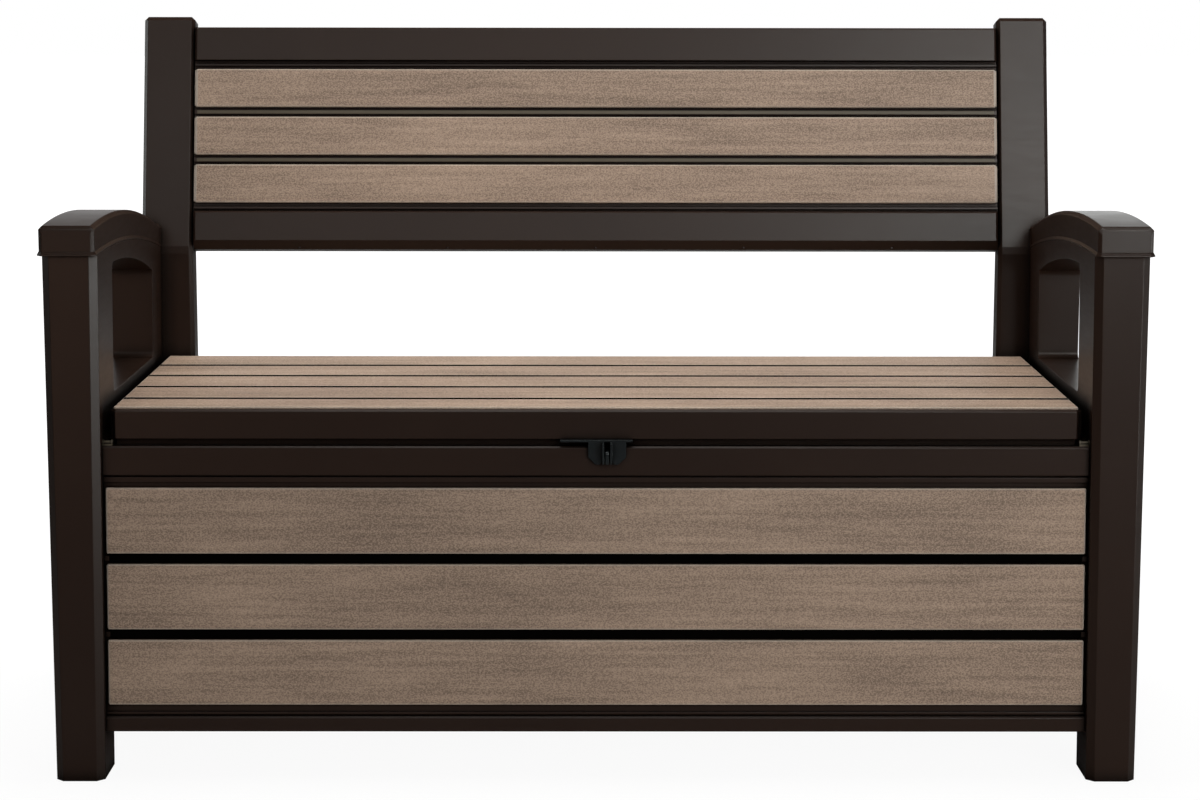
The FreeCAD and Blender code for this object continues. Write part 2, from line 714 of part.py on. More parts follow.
def leg_plugs():
    """Plugs that close the hollow legs flush with the floor."""
    front = []
    rear = []
    for side, word in SIDES:
        plug = new_body(f"{word}_front_plug")
        low = f"({inner_face('0')} + shell_wall + fit_gap)"
        high = f"({LEG_OUTER} - shell_wall - fit_gap)"
        start = f"({LEG_FRONT} + leg_chamfer + shell_wall + fit_gap)"
        pad(plug, "YZ", side_span(side, low, high), f"{high} - {low}",
            box(start, f"{LEG_REAR} - shell_wall - fit_gap", "0", "plug_height"))
        front.append(plug)
        plug = new_body(f"{word}_rear_plug")
        wall = "(post_wall + fit_gap)"
        start = side_span(side, f"{POST_INNER} + {wall}", f"{POST_OUTER} - {wall}")
        pad(plug, "YZ", start, f"post_width - 2 * {wall}",
            box(f"{POST_FRONT} + {wall}", f"{POST_FRONT} + rear_leg_depth - {wall}", "0", "plug_height"))
        rear.append(plug)
    group("front_leg_plugs", front)
    group("rear_leg_plugs", rear)


def rib(setback, seat, middle, height):
    """Front contour of one thin rib that stands out of a plank seat, from its lower to its upper edge."""
    low = f"({middle} - {height} / 2)"
    high = f"({middle} + {height} / 2)"
    return [(seat, low), (setback, low), (setback, high), (seat, high)]


def end_cuts(body, height, gap, step=None):
    """Trim both ends of a panel along the leaning inner faces of the side frames."""
    for side, _ in SIDES:
        low = f"({inner_face('0')} - {gap})"
        outer = "overall_width"
        edge = [(low, "0")]
        if step:
            level, half = step
            edge += [(f"({inner_face(level)} - {gap})", level), (half, level), (half, height)]
        else:
            edge += [(f"({inner_face(height)} - {gap})", height)]
        pocket(body, "XZ", ALL_DEEP, TWICE_DEEP, mirror(side, [*edge, (outer, height), (outer, "0")]))


def front_panel_frame():
    """Rails, ribs and the sheet behind the front planks, with a rain upstand and a ledge for the floor."""
    body = new_body("front_panel_frame")
    face = PANEL_FACE
    seat = PANEL_SEAT
    crest = f"({face} + front_rib_setback)"
    inside = f"({face} + panel_wall)"
    upstand = f"({face} + upstand_setback)"
    upstand_top = f"({DECK_BOTTOM} - fit_gap)"
    ledge = f"({PANEL_BACK} + ledge_depth)"
    contour = [(ledge, "ground_clearance"), (face, "ground_clearance"),
               (face, f"{FRONT_FIELD_LOW} - rail_edge"), (f"{face} + rail_edge", FRONT_FIELD_LOW),
               (seat, FRONT_FIELD_LOW)]
    contour += rib(crest, seat, f"({FRONT_FIELD_LOW} + front_rib_height * 0.6)", "(front_rib_height / 2)")
    for height in reversed(FRONT_GAPS):
        contour += rib(crest, seat, height, "front_rib_height")
    contour += rib(crest, seat, f"({TOP_RAIL_LOW} - front_rib_height)", "front_rib_height")
    under = f"({TOP_RAIL_TOP} - panel_wall)"
    over = f"({TOP_RAIL_LOW} + panel_wall)"
    contour += [(seat, TOP_RAIL_LOW), (face, TOP_RAIL_LOW), (face, f"{TOP_RAIL_TOP} - rail_edge"),
                (f"{face} + rail_edge", TOP_RAIL_TOP), (upstand, TOP_RAIL_TOP), (upstand, upstand_top),
                (f"{upstand} + panel_wall", upstand_top), (f"{upstand} + panel_wall", under),
                (inside, under), (inside, over), (PANEL_BACK, over), (PANEL_BACK, FLOOR_UNDER),
                (ledge, FLOOR_UNDER)]
    pad(body, "YZ", ALL_WIDE_HALF, "overall_width", contour)
    upstand_half = f"({LID_HALF} - lid_wall - lid_side_gap / 2)"
    end_cuts(body, "seat_height", "panel_end_gap", (TOP_RAIL_TOP, upstand_half))
    slot = box("lock_offset - staple_thick / 2 - fit_gap", "lock_offset + staple_thick / 2 + fit_gap",
               f"{STAPLE_LOW} - fit_gap", f"{STAPLE_LOW} + staple_height + fit_gap")
    pocket(body, "XZ", f"{face} - panel_wall", "2.5 * panel_wall", slot)
    return finish("front_panel_frame", body)


def front_planks():
    """Wood-look planks on the front panel, with ends that follow the legs."""
    for row, (low, high) in enumerate(FRONT_ROWS, start=1):
        name = f"front_plank_{row}"
        body = new_body(name)
        high_half = f"({inner_face(high)} - front_plank_end)"
        low_half = f"({inner_face(low)} - front_plank_end)"
        pad(body, "XZ", PANEL_FACE, "front_plank_thick",
            [(f"-{low_half}", low), (low_half, low), (high_half, high), (f"-{high_half}", high)])
        face = value(PANEL_FACE)
        chamfer(body, "plank_edge", lambda a, b: near(a.y, face) and near(b.y, face))
        finish(name, body)


def rear_panel():
    """Back wall of the storage box, with a ledge for the floor and stiffening ribs behind."""
    body = new_body("rear_panel")
    ledge = f"({REAR_FACE} - ledge_depth)"
    contour = [(ledge, "ground_clearance"), (FRAME_REAR, "ground_clearance"), (FRAME_REAR, REAR_TOP),
               (REAR_FACE, REAR_TOP), (REAR_FACE, FLOOR_UNDER), (ledge, FLOOR_UNDER)]
    pad(body, "YZ", ALL_WIDE_HALF, "overall_width", contour)
    end_cuts(body, "seat_height", "panel_end_gap")
    rib_half = f"({POST_INNER} - back_end_gap)"
    ribs = []
    for step in range(REAR_RIBS):
        low = f"(ground_clearance + {step} / {REAR_RIBS - 1} * ({REAR_TOP} - ground_clearance - panel_wall))"
        ribs.append(box(REAR_FACE, f"{FRAME_REAR} + rear_rib_depth", low, f"{low} + panel_wall"))
    pad(body, "YZ", f"-{rib_half}", f"2 * {rib_half}", *ribs)
    holes = []
    for middle in HINGE_MIDDLES:
        holes += [(x, BRACKET_SCREW_Z, SCREW_HOLE) for x in screw_pair(middle)]
    pocket(body, "XZ", f"{REAR_FACE} - panel_wall", "3 * panel_wall", *holes)
    return finish("rear_panel", body)


def floor_panel():
    """Floor of the storage box, on the ledges of the front and rear panels, ribbed underneath."""
    body = new_body("floor_panel")
    top = f"({FLOOR_UNDER} + floor_thick)"
    half = f"({inner_face(top)} - panel_end_gap)"
    front = f"({PANEL_BACK} + fit_gap)"
    rear = f"({REAR_FACE} - fit_gap)"
    pad(body, "YZ", f"-{half}", f"2 * {half}", box(front, rear, FLOOR_UNDER, top))
    ribs = []
    for step in range(FLOOR_RIBS):
        share = f"{step + 1} / {FLOOR_RIBS + 1}"
        middle = f"({front} + ({rear} - {front}) * {share})"
        ribs.append(box(f"{middle} - panel_wall / 2", f"{middle} + panel_wall / 2",
                        f"{FLOOR_UNDER} - floor_rib_depth", f"{FLOOR_UNDER} + floor_thick / 2"))
    rib_half = f"({half} - floor_rib_depth)"
    pad(body, "YZ", f"-{rib_half}", f"2 * {rib_half}", *ribs)
    return finish("floor_panel", body)


def lid_frame():
    """Tray of the seat: a deck with a rim, strips between the planks, a skirt on three sides and ribs."""
    body = new_body("lid_frame")
    pad(body, "XY", LID_BOTTOM, "lid_skirt", box(f"-{LID_HALF}", LID_HALF, LID_FRONT, LID_REAR))
    front = value(LID_FRONT)
    top = value(LID_TOP)
    chamfer(body, "lid_corner", lambda a, b: near(a.y, front) and near(b.y, front) and not near(a.z, b.z))
    rear = value(LID_REAR)
    chamfer(body, "lid_edge", lambda a, b: near(a.z, top) and near(b.z, top)
            and not (near(a.y, rear) and near(b.y, rear)))
    inside = f"({LID_HALF} - lid_wall)"
    behind = f"({LID_REAR} + lid_wall)"
    pocket(body, "XY", f"{LID_BOTTOM} - lid_wall", f"{DECK_BOTTOM} - {LID_BOTTOM} + lid_wall",
           box(f"-{inside}", inside, f"{LID_FRONT} + lid_wall", behind))
    field = f"({LID_HALF} - lid_rim_side)"
    pocket(body, "XY", DECK_TOP, "lid_skirt", box(f"-{field}", field, f"{LID_FRONT} + lid_rim_front", behind))
    for step in range(-LID_RIBS, LID_RIBS + 1):
        pad(body, "YZ", f"{step} * lid_rib_pitch - lid_wall / 2", "lid_wall",
            box(f"{LID_FRONT} + lid_rib_setback", f"{HINGE_Y} - leaf_length",
                f"{DECK_BOTTOM} - lid_rib_depth", f"{DECK_BOTTOM} + lid_wall / 2"))
    planks = seat_rows()
    strips = []
    for (_, low), (high, _) in zip(planks, planks[1:]):
        strips.append(box(f"-{SEAT_HALF}", SEAT_HALF, f"{low} + seat_rib_gap", f"{high} - seat_rib_gap"))
    pad(body, "XY", f"{DECK_TOP} - lid_wall / 2", "seat_plank_thick + lid_wall / 2 - seat_rib_drop", *strips)
    holes = []
    for middle in HINGE_MIDDLES:
        holes += [(x, LEAF_SCREW_Y, SCREW_HOLE) for x in screw_pair(middle)]
    pocket(body, "XY", f"{DECK_BOTTOM} - lid_wall", "3 * lid_wall", *holes)
    return finish("lid_frame", body)


def seat_planks():
    """Wood-look planks of the seat."""
    for row, (low, high) in enumerate(seat_rows(), start=1):
        name = f"seat_plank_{row}"
        body = new_body(name)
        pad(body, "XY", DECK_TOP, "seat_plank_thick", box(f"-{SEAT_HALF}", SEAT_HALF, low, high))
        top = value("seat_height")
        chamfer(body, "plank_edge", lambda a, b: near(a.z, top) and near(b.z, top))
        if row == SEAT_PLANKS:
            holes = []
            for middle in HINGE_MIDDLES:
                holes += [(x, LEAF_SCREW_Y, SCREW_HOLE) for x in screw_pair(middle)]
            pocket(body, "XY", f"{DECK_TOP} - lid_wall", f"lid_wall + {LEAF_SCREW_BITE} + fit_gap", *holes)
        finish(name, body)


def backrest_frame():
    """Rails, ribs and the sheet behind the back planks, with tenons that enter the posts."""
    body = new_body("backrest_frame")
    face = BACK_FACE
    seat = BACK_SEAT
    crest = f"({face} + back_rib_setback)"
    inside = f"({face} + back_wall)"
    bevel_back = f"({face} + back_bottom_bevel)"
    contour = [("back_flange_depth", "back_bottom_edge"), (bevel_back, "back_bottom_edge"),
               (face, "back_bottom_edge + back_bottom_bevel"), (face, f"{BACK_FIELD_LOW} - rail_edge"),
               (f"{face} + rail_edge", BACK_FIELD_LOW), (seat, BACK_FIELD_LOW)]
    contour += rib(crest, seat, f"({BACK_FIELD_LOW} + back_rib_height * 0.8)", "(back_rib_height / 2)")
    for middle in reversed(BACK_GAPS):
        contour += rib(crest, seat, middle, "back_rib_height")
    contour += rib(crest, seat, f"({BACK_RAIL_LOW} - back_rib_height)", "(back_rib_height / 2)")
    under = f"({BACK_TOP} - back_wall)"
    over = f"({BACK_RAIL_LOW} + back_wall)"
    below = f"({BACK_FIELD_LOW} - back_wall)"
    contour += [(seat, BACK_RAIL_LOW), (face, BACK_RAIL_LOW), (face, f"{BACK_TOP} - rail_edge"),
                (f"{face} + rail_edge", BACK_TOP), ("back_flange_depth", BACK_TOP),
                ("back_flange_depth", under), (inside, under), (inside, over), (BACK_SHEET, over),
                (BACK_SHEET, below), (inside, below),
                (inside, "back_bottom_edge + back_bottom_bevel + back_wall"),
                (f"{bevel_back} + back_wall", "back_bottom_edge + back_wall"),
                ("back_flange_depth", "back_bottom_edge + back_wall")]
    pad(body, "YZ", f"-{BACK_END}", f"2 * {BACK_END}", contour)
    end = value(BACK_END)
    front = value(face)
    chamfer(body, "back_end_bevel", lambda a, b: near(a.x, b.x) and near(abs(a.x), end) and near(a.y, front)
            and near(b.y, front))
    for step in range(-BACK_BRACES, BACK_BRACES + 1):
        pad(body, "YZ", f"{step} * back_brace_pitch - back_wall / 2", "back_wall",
            box(f"{BACK_SHEET} - back_wall / 2", "back_flange_depth - back_wall",
                "back_bottom_edge + back_wall / 2", f"{BACK_TOP} - back_wall / 2"))
    for side, _ in SIDES:
        blocks = [box("tenon_inset", "tenon_inset + tenon_depth", f"{middle} - tenon_height / 2",
                      f"{middle} + tenon_height / 2") for middle in TENON_MIDDLES]
        pad(body, "YZ", side_span(side, f"{BACK_END} - tenon_root", f"{BACK_END} + tenon_length"),
            "tenon_root + tenon_length", *blocks)
        roots = [box(f"{inside} - back_wall / 2", "tenon_inset + tenon_depth / 2",
                     f"{middle} - tenon_height / 2",
                     f"{middle} + tenon_height / 2") for middle in TENON_MIDDLES]
        pad(body, "YZ", side_span(side, f"{BACK_END} - tenon_root", f"{BACK_END} - back_wall"),
            "tenon_root - back_wall", *roots)
        holes = [(flip(side, BACK_SCREW_X), middle, SCREW_HOLE) for middle in TENON_MIDDLES]
        depth = "tenon_inset + tenon_depth - back_screw_bite - fit_gap"
        pocket(body, "XZ", depth, "back_flange_depth", *holes)
    recline_body(body)
    return finish("backrest_frame", body)


def back_planks():
    """Wood-look planks of the backrest."""
    for row, (low, high) in enumerate(BACK_ROWS, start=1):
        name = f"back_plank_{row}"
        body = new_body(name)
        half = f"({BACK_END} - back_plank_end)"
        start = f"{BACK_FACE} + back_plank_setback"
        pad(body, "XZ", start, "back_plank_thick", box(f"-{half}", half, low, high))
        face = value(start)
        chamfer(body, "plank_edge", lambda a, b: near(a.y, face) and near(b.y, face))
        recline_body(body)
        finish(name, body)


def hinge(middle, word):
    """One lid hinge: a bracket with two knuckles, a leaf with one between them, and the pin."""
    half = "(hinge_width / 2)"
    inner = "(knuckle_width / 2)"
    outer_start = f"({inner} + knuckle_gap)"
    knuckle = (HINGE_Y, HINGE_Z, "knuckle_radius")
    bore = (HINGE_Y, HINGE_Z, "pin_radius + pin_clearance")
    bracket = new_body(f"{word}_hinge_bracket")
    pad(bracket, "YZ", f"{middle} - {half}", "hinge_width",
        box(f"{REAR_FACE} - leaf_thick", REAR_FACE, f"{BRACKET_FOOT} - bracket_plate_height", BRACKET_FOOT))
    pad(bracket, "YZ", f"{middle} - {half}", "hinge_width",
        box(f"{HINGE_Y} - bracket_web / 2", REAR_FACE, f"{BRACKET_FOOT} - bracket_web", BRACKET_FOOT))
    for side, _ in SIDES:
        start = f"{middle} + {side_span(side, outer_start, half)}"
        length = f"{half} - {outer_start}"
        pad(bracket, "YZ", start, length, box(f"{HINGE_Y} - bracket_web / 2", f"{HINGE_Y} + bracket_web / 2",
                                            f"{BRACKET_FOOT} - bracket_web / 2", HINGE_Z))
        pad(bracket, "YZ", start, length, knuckle)
    pocket(bracket, "YZ", f"{middle} - hinge_width", "2 * hinge_width", bore)
    screws = [(x, BRACKET_SCREW_Z, SCREW_HOLE) for x in screw_pair(middle)]
    pocket(bracket, "XZ", f"{REAR_FACE} - 2 * leaf_thick", "3 * leaf_thick", *screws)
    leaf = new_body(f"{word}_hinge_leaf")
    leaf_low = f"({DECK_BOTTOM} - leaf_thick)"
    pad(leaf, "YZ", f"{middle} - {half}", "hinge_width",
        box(f"{HINGE_Y} - leaf_length", f"{HINGE_Y} - knuckle_radius - 3 * knuckle_gap",
            leaf_low, DECK_BOTTOM))
    pad(leaf, "YZ", f"{middle} - {inner}", "knuckle_width",
        box(f"{HINGE_Y} - 2 * knuckle_radius", HINGE_Y, leaf_low, f"{HINGE_Z} + knuckle_radius"))
    pad(leaf, "YZ", f"{middle} - {inner}", "knuckle_width", knuckle)
    pocket(leaf, "YZ", f"{middle} - hinge_width", "2 * hinge_width", bore)
    screws = [(x, LEAF_SCREW_Y, SCREW_HOLE) for x in screw_pair(middle)]
    pocket(leaf, "XY", f"{leaf_low} - leaf_thick", "3 * leaf_thick", *screws)
    pin = new_body(f"{word}_hinge_pin")
    pad(pin, "YZ", f"{middle} - {half} - pin_head_length", "hinge_width + 2 * pin_head_length",
        (HINGE_Y, HINGE_Z, "pin_radius"))
    for start in (f"{middle} - {half} - pin_head_length", f"{middle} + {half}"):
        pad(pin, "YZ", start, "pin_head_length", (HINGE_Y, HINGE_Z, "pin_head_radius"))
    return bracket, leaf, pin


def hinges():
    """Both lid hinges, each kind of piece in one node."""
    made = [hinge(middle, word) for middle, (_, word) in zip(HINGE_MIDDLES, SIDES)]
    for name, pieces in zip(("hinge_brackets", "hinge_leaves", "hinge_pins"), zip(*made)):
        group(name, list(pieces))


def fastener(name, plane, x, y, head_start, head, shank_start, shank, sizes):
    """A headed screw or bolt along the plane's normal: a head and a shank that meet."""
    radius, head_radius, head_bevel, head_top = sizes
    body = new_body(name)
    pad(body, plane, head_start, head, (x, y, head_radius))
    level = value(head_top)
    outer = value(head_radius)
    axis = "z" if plane == "XY" else "y"
    tip = body.Tip
    rims = [f"Edge{number}" for number, edge in enumerate(body.Shape.Edges, start=1)
            if hasattr(edge.Curve, "Radius") and near(edge.Curve.Radius, outer)
            and near(getattr(edge.Curve.Center, axis), level)]
    bevel = body.newObject("PartDesign::Chamfer", name + "_chamfer")
    bevel.Base = (tip, rims)
    bevel.setExpression("Size", bind(head_bevel))
    doc.recompute()
    pad(body, plane, shank_start, shank, (x, y, radius))
    return body


def screws():
    """Screws and bolts, each kind in one node."""
    small = ("screw_radius", "screw_head_radius", "screw_head_height / 2")
    bracket = []
    leaf = []
    for middle, (_, word) in zip(HINGE_MIDDLES, SIDES):
        for number, x in enumerate(screw_pair(middle), start=1):
            face = f"({REAR_FACE} - leaf_thick)"
            bracket.append(fastener(f"{word}_bracket_screw_{number}", "XZ", x, BRACKET_SCREW_Z,
                                    f"{face} - screw_head_height", "screw_head_height", face, "screw_length",
                                    (*small, f"{face} - screw_head_height")))
            face = f"({DECK_BOTTOM} - leaf_thick)"
            leaf.append(fastener(f"{word}_leaf_screw_{number}", "XY", x, LEAF_SCREW_Y,
                                 f"{face} - screw_head_height", "screw_head_height", face, "screw_length",
                                 (*small, f"{face} - screw_head_height")))
    group("hinge_bracket_screws", bracket)
    group("hinge_leaf_screws", leaf)
    bolts = []
    back = []
    for side, word in SIDES:
        for number, height in enumerate(BOLT_HEIGHTS, start=1):
            face = f"({POST_FRONT} + rear_leg_depth)"
            bolts.append(fastener(f"{word}_post_bolt_{number}", "XZ", flip(side, BOLT_X), height,
                                  face, "bolt_head_height",
                                  f"{FRAME_REAR} - bolt_grip", f"{face} - {FRAME_REAR} + bolt_grip",
                                  ("bolt_radius", "bolt_head_radius", "bolt_head_height / 3",
                                   f"{face} + bolt_head_height")))
        for number, middle in enumerate(TENON_MIDDLES, start=1):
            tip = "(tenon_inset + tenon_depth - back_screw_bite)"
            screw = fastener(f"{word}_back_screw_{number}", "XZ", flip(side, BACK_SCREW_X), middle,
                             "post_depth", "screw_head_height", tip, f"post_depth - {tip}",
                             (*small, "post_depth + screw_head_height"))
            recline_body(screw)
            back.append(screw)
    group("post_bolts", bolts)
    group("backrest_screws", back)


def lock_hasp():
    """Flap under the lid's front edge: a long top plate and two lobes on each side of a flared slot."""
    body = new_body("lock_hasp")
    back = f"({PANEL_FACE} - hasp_stand_off)"
    top = LID_BOTTOM
    low = f"({top} - hasp_plate_thick - hasp_height)"
    under = f"({top} - hasp_plate_thick)"
    plate = "(hasp_plate_width / 2)"
    pad(body, "XZ", f"{back} - hasp_thick", f"{LID_FRONT} + lid_wall - {back} + hasp_thick",
        box(f"-{plate}", plate, under, top))
    for side, _ in SIDES:
        def across(distance):
            return f"lock_offset + {side} * ({distance})"

        inner = "(hasp_slot / 2)"
        outer = "(hasp_width / 2)"
        flare = f"({inner} + hasp_flare)"
        lobe = [(across(inner), top), (across(inner), f"{low} + hasp_height / 3"), (across(flare), low),
                (across(f"{outer} - hasp_corner"), low), (across(outer), f"{low} + hasp_corner"),
                (across(outer), top)]
        pad(body, "XZ", f"{back} - hasp_thick", "hasp_thick", lobe)
        ear_low = inner if side > 0 else f"{inner} + hasp_ear"
        pad(body, "YZ", f"lock_offset + {side} * ({ear_low})", "hasp_ear",
            box(f"{back} - hasp_thick - hasp_ear_depth", f"{back} - hasp_thick / 2",
                f"{LOCK_HOLE_Z} - 2 * lock_hole_radius", under))
    pocket(body, "YZ", "lock_offset - hasp_width", "2 * hasp_width", LOCK_HOLE)
    return finish("lock_hasp", body)


def lock_staple():
    """Fin with the padlock's hole, pushed through the top rail from behind against a base plate."""
    body = new_body("lock_staple")
    high = f"{STAPLE_LOW} + staple_height"
    pad(body, "YZ", "lock_offset - staple_thick / 2", "staple_thick",
        box(f"{PANEL_FACE} - staple_reach", f"{PANEL_FACE} + 1.5 * panel_wall", STAPLE_LOW, high))
    front = value(f"{PANEL_FACE} - staple_reach")
    fillet(body, "staple_height / 4", lambda a, b: near(a.y, front) and near(b.y, front) and near(a.z, b.z))
    pocket(body, "YZ", "lock_offset - staple_thick", "2 * staple_thick", LOCK_HOLE)
    pad(body, "XZ", f"{PANEL_FACE} + panel_wall", "panel_wall",
        box("lock_offset - staple_base_width / 2", "lock_offset + staple_base_width / 2", STAPLE_LOW, high))
    return finish("lock_staple", body)


def panel_pegs():
    """Flanged pegs that hold the top corners of the front panel against the legs."""
    pegs = []
    for side, word in SIDES:
        body = new_body(f"{word}_panel_peg")
        height = f"({TOP_RAIL_TOP} + peg_rise)"
        depth = f"({PANEL_FACE} + upstand_setback / 2)"
        end = f"({inner_face(height)} - fit_gap)"
        start = f"({end} - peg_length)"
        pad(body, "YZ", side_span(side, start, end), "peg_length", (depth, height, "peg_radius"))
        for low, high in ((start, f"{start} + peg_flange"), (f"{end} - peg_flange", end)):
            pad(body, "YZ", side_span(side, low, high), "peg_flange", (depth, height, "peg_flange_radius"))
        pad(body, "YZ", side_span(side, start, end), "peg_length",
            box(f"{depth} - peg_flange_radius", f"{depth} + peg_flange_radius",
                TOP_RAIL_TOP, f"{TOP_RAIL_TOP} + peg_tab"))
        pegs.append(body)
    group("panel_pegs", pegs)


for side, word in SIDES:
    side_frame(side, f"{word}_side_frame")
    arm_cap(side, f"{word}_arm_cap")
    back_post(side, f"{word}_back_post")
leg_plugs()
front_panel_frame()
front_planks()
rear_panel()
floor_panel()
lid_frame()
seat_planks()
backrest_frame()
back_planks()
hinges()
screws()
lock_hasp()
lock_staple()
panel_pegs()

os.makedirs("parts", exist_ok=True)
doc.recompute()
for item in doc.Objects:
    if "Invalid" in item.State or "Error" in item.State:
        raise RuntimeError(f"{item.Name} failed: {item.State}")
for name, item in nodes.items():
    shape = item.Shape
    if shape.isNull() or not shape.isValid() or not shape.Solids:
        raise RuntimeError(f"{name} has no valid solid")
for name, item in nodes.items():
    item.Shape.exportStep(f"parts/{name}.step")
    print(f"{name}: {len(item.Shape.Solids)} solid(s), {item.Shape.Volume / 1e6:.3f} litres")
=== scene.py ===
# %% [markdown]
# An outdoor storage bench: a moulded resin box with a planked seat that lifts, two arched arms and a
# reclined back. The solid model comes in first, already at its real size in metres. Everything after that
# is looks: better surfaces where the solid is plain, and a finish on every piece.

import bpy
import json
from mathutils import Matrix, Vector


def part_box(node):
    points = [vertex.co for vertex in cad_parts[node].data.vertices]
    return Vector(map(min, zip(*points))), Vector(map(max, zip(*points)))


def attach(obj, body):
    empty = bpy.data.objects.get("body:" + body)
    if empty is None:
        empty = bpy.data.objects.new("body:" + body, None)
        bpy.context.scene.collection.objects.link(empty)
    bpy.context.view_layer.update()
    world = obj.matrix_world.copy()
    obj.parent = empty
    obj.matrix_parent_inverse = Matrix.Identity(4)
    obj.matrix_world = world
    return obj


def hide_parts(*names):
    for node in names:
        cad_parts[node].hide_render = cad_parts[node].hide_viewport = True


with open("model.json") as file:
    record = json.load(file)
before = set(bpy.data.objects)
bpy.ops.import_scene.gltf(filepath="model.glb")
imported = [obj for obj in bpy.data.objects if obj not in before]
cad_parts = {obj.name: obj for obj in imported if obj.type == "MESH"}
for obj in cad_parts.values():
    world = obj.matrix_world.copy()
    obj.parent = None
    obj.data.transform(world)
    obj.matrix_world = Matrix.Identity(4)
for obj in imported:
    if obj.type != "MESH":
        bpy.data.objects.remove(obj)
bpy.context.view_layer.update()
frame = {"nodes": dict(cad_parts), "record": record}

# %% Tools for the lesson
import json
import math

import bpy
import numpy as np
from mathutils import Matrix, Vector

scene = bpy.context.scene
MM = 0.001
nodes = frame["nodes"]
slot_of = {part["node"]: part["material_slot"] for part in frame["record"]["subparts"]}
body_of = {node: body for body, group in frame["record"]["behaviour"]["bodies"].items() for node in group}
print("bodies:", sorted(set(body_of.values())))

# %% [markdown]
# The camera stands about three and a half metres in front of the bench, a little above the arms, and looks
# slightly down. Straight edges of the photograph fix its place and its long lens. A long lens from far away
# keeps the sides of the bench almost parallel, so a shorter one would spread the arms too far.

# %% Camera
camera_data = bpy.data.cameras.new("studio_camera")
camera = bpy.data.objects.new("studio_camera", camera_data)
scene.collection.objects.link(camera)
PHOTO_WIDTH = 1200
FOCAL_PIXELS = 2757
camera_data.sensor_width = 36.0
camera_data.lens = FOCAL_PIXELS / PHOTO_WIDTH * camera_data.sensor_width
camera.location = (-0.006, -3.5108, 0.960)
turn_right = Matrix.Rotation(math.radians(-0.185), 4, "Z")
look_down = Matrix.Rotation(math.radians(90 - 8.748), 4, "X")
tip_sideways = Matrix.Rotation(math.radians(0.075), 4, "Z")
camera.rotation_euler = (turn_right @ look_down @ tip_sideways).to_euler()
scene.camera = camera
scene.view_settings.view_transform = "Standard"
print("lens:", round(camera_data.lens, 1), "mm")

# %% [markdown]
# Studio light is a few large soft lamps. A broad one above lights the seat, a large panel in front and a
# strong low one at the right light the planks, and one behind lights the back. Dark satin resin shows
# little of that light itself. What shapes it are bright cards that it mirrors: two at the front right for
# the sheen on the right-hand post and arm, a warm one at the front left for the left arm, one high in front
# for the top rail, one overhead for the lid's front edge, and small ones at both sides and behind for the
# bright lines along moulded edges. The cards are lamps that only reflections see.

# %% Lamps and cards
def soft_lamp(name, place, target, size, radiance, lights, mirrored, colour, spread=180):
    """A rectangular lamp that faces a target; its power follows from how bright its face should look."""
    data = bpy.data.lights.new(name, "AREA")
    data.shape = "RECTANGLE"
    data.size, data.size_y = size
    data.energy = radiance * math.pi * size[0] * size[1]
    data.color = colour
    data.spread = math.radians(spread)
    lamp = bpy.data.objects.new(name, data)
    lamp.location = place
    lamp.rotation_euler = (Vector(target) - Vector(place)).to_track_quat("-Z", "Y").to_euler()
    lamp.visible_camera = False
    lamp.visible_diffuse = lights
    lamp.visible_glossy = mirrored
    scene.collection.objects.link(lamp)
    return lamp


SHEEN = {"lights": False, "mirrored": True, "colour": (0.95, 1.0, 0.985)}
WARM_SHEEN = {**SHEEN, "colour": (1.0, 0.62, 0.45)}
LIGHT = {"lights": True, "mirrored": False, "colour": (1.0, 1.0, 1.0)}
lamps = [
    soft_lamp("top_lamp", (0.0, 0.12, 2.7), (0, 0.12, 0), (2.0, 0.9), 3.5, **LIGHT, spread=100),
    soft_lamp("front_panel", (-0.6, -3.2, 1.0), (-0.2, 0, 0.4), (1.8, 1.8), 0.9, **LIGHT),
    soft_lamp("low_panel", (1.5, -2.4, 0.75), (0.3, -0.28, 0.25), (1.2, 0.7), 9.7, **LIGHT),
    soft_lamp("rear_lamp", (0, 3.4, 0.95), (0, 0.3, 0.5), (3.0, 1.4), 4.0, **LIGHT),
    soft_lamp("post_card", (1.45, -2.9, 2.1), (0.5, 0.2, 0.8), (1.3, 0.9), 15.0, **SHEEN),
    soft_lamp("arm_card", (1.3, -2.95, 0.9), (0.6, -0.3, 0.6), (0.6, 0.4), 18.0, **SHEEN),
    soft_lamp("warm_card", (-1.3, -2.95, 0.45), (-0.6, -0.3, 0.6), (0.6, 0.6), 3.6, **WARM_SHEEN),
    soft_lamp("high_card", (-0.2, -3.3, 2.2), (0, 0.2, 0.8), (3.4, 0.9), 2.9, **SHEEN),
    soft_lamp("side_card", (2.8, -0.95, 0.36), (-0.6, -0.28, 0.55), (0.9, 0.7), 18.0, **SHEEN),
    soft_lamp("left_card", (-3.0, 0.75, 1.15), (-0.6, 0.25, 0.75), (0.6, 0.9), 6.0, **SHEEN),
    soft_lamp("roof_card", (0, -0.65, 2.85), (0, -0.28, 0.45), (1.5, 0.6), 6.0, **SHEEN),
    soft_lamp("rear_card", (1.6, 3.4, 1.1), (0.6, 0, 0.65), (1.4, 1.0), 1.0, **SHEEN),
]
print("lamps:", {lamp.name: round(lamp.data.energy, 1) for lamp in lamps})

# %% [markdown]
# Backdrop, floor and finishes are all made of shader nodes. A few small helpers keep that short: they add a
# node with its settings, link or set a socket, do arithmetic, and mix two shaders.

# %% Helpers for shader nodes
def add_node(tree, kind, **inputs):
    """A shader node with some of its inputs set by name."""
    made = tree.nodes.new(kind)
    for key, setting in inputs.items():
        made.inputs[key.replace("_", " ")].default_value = setting
    return made


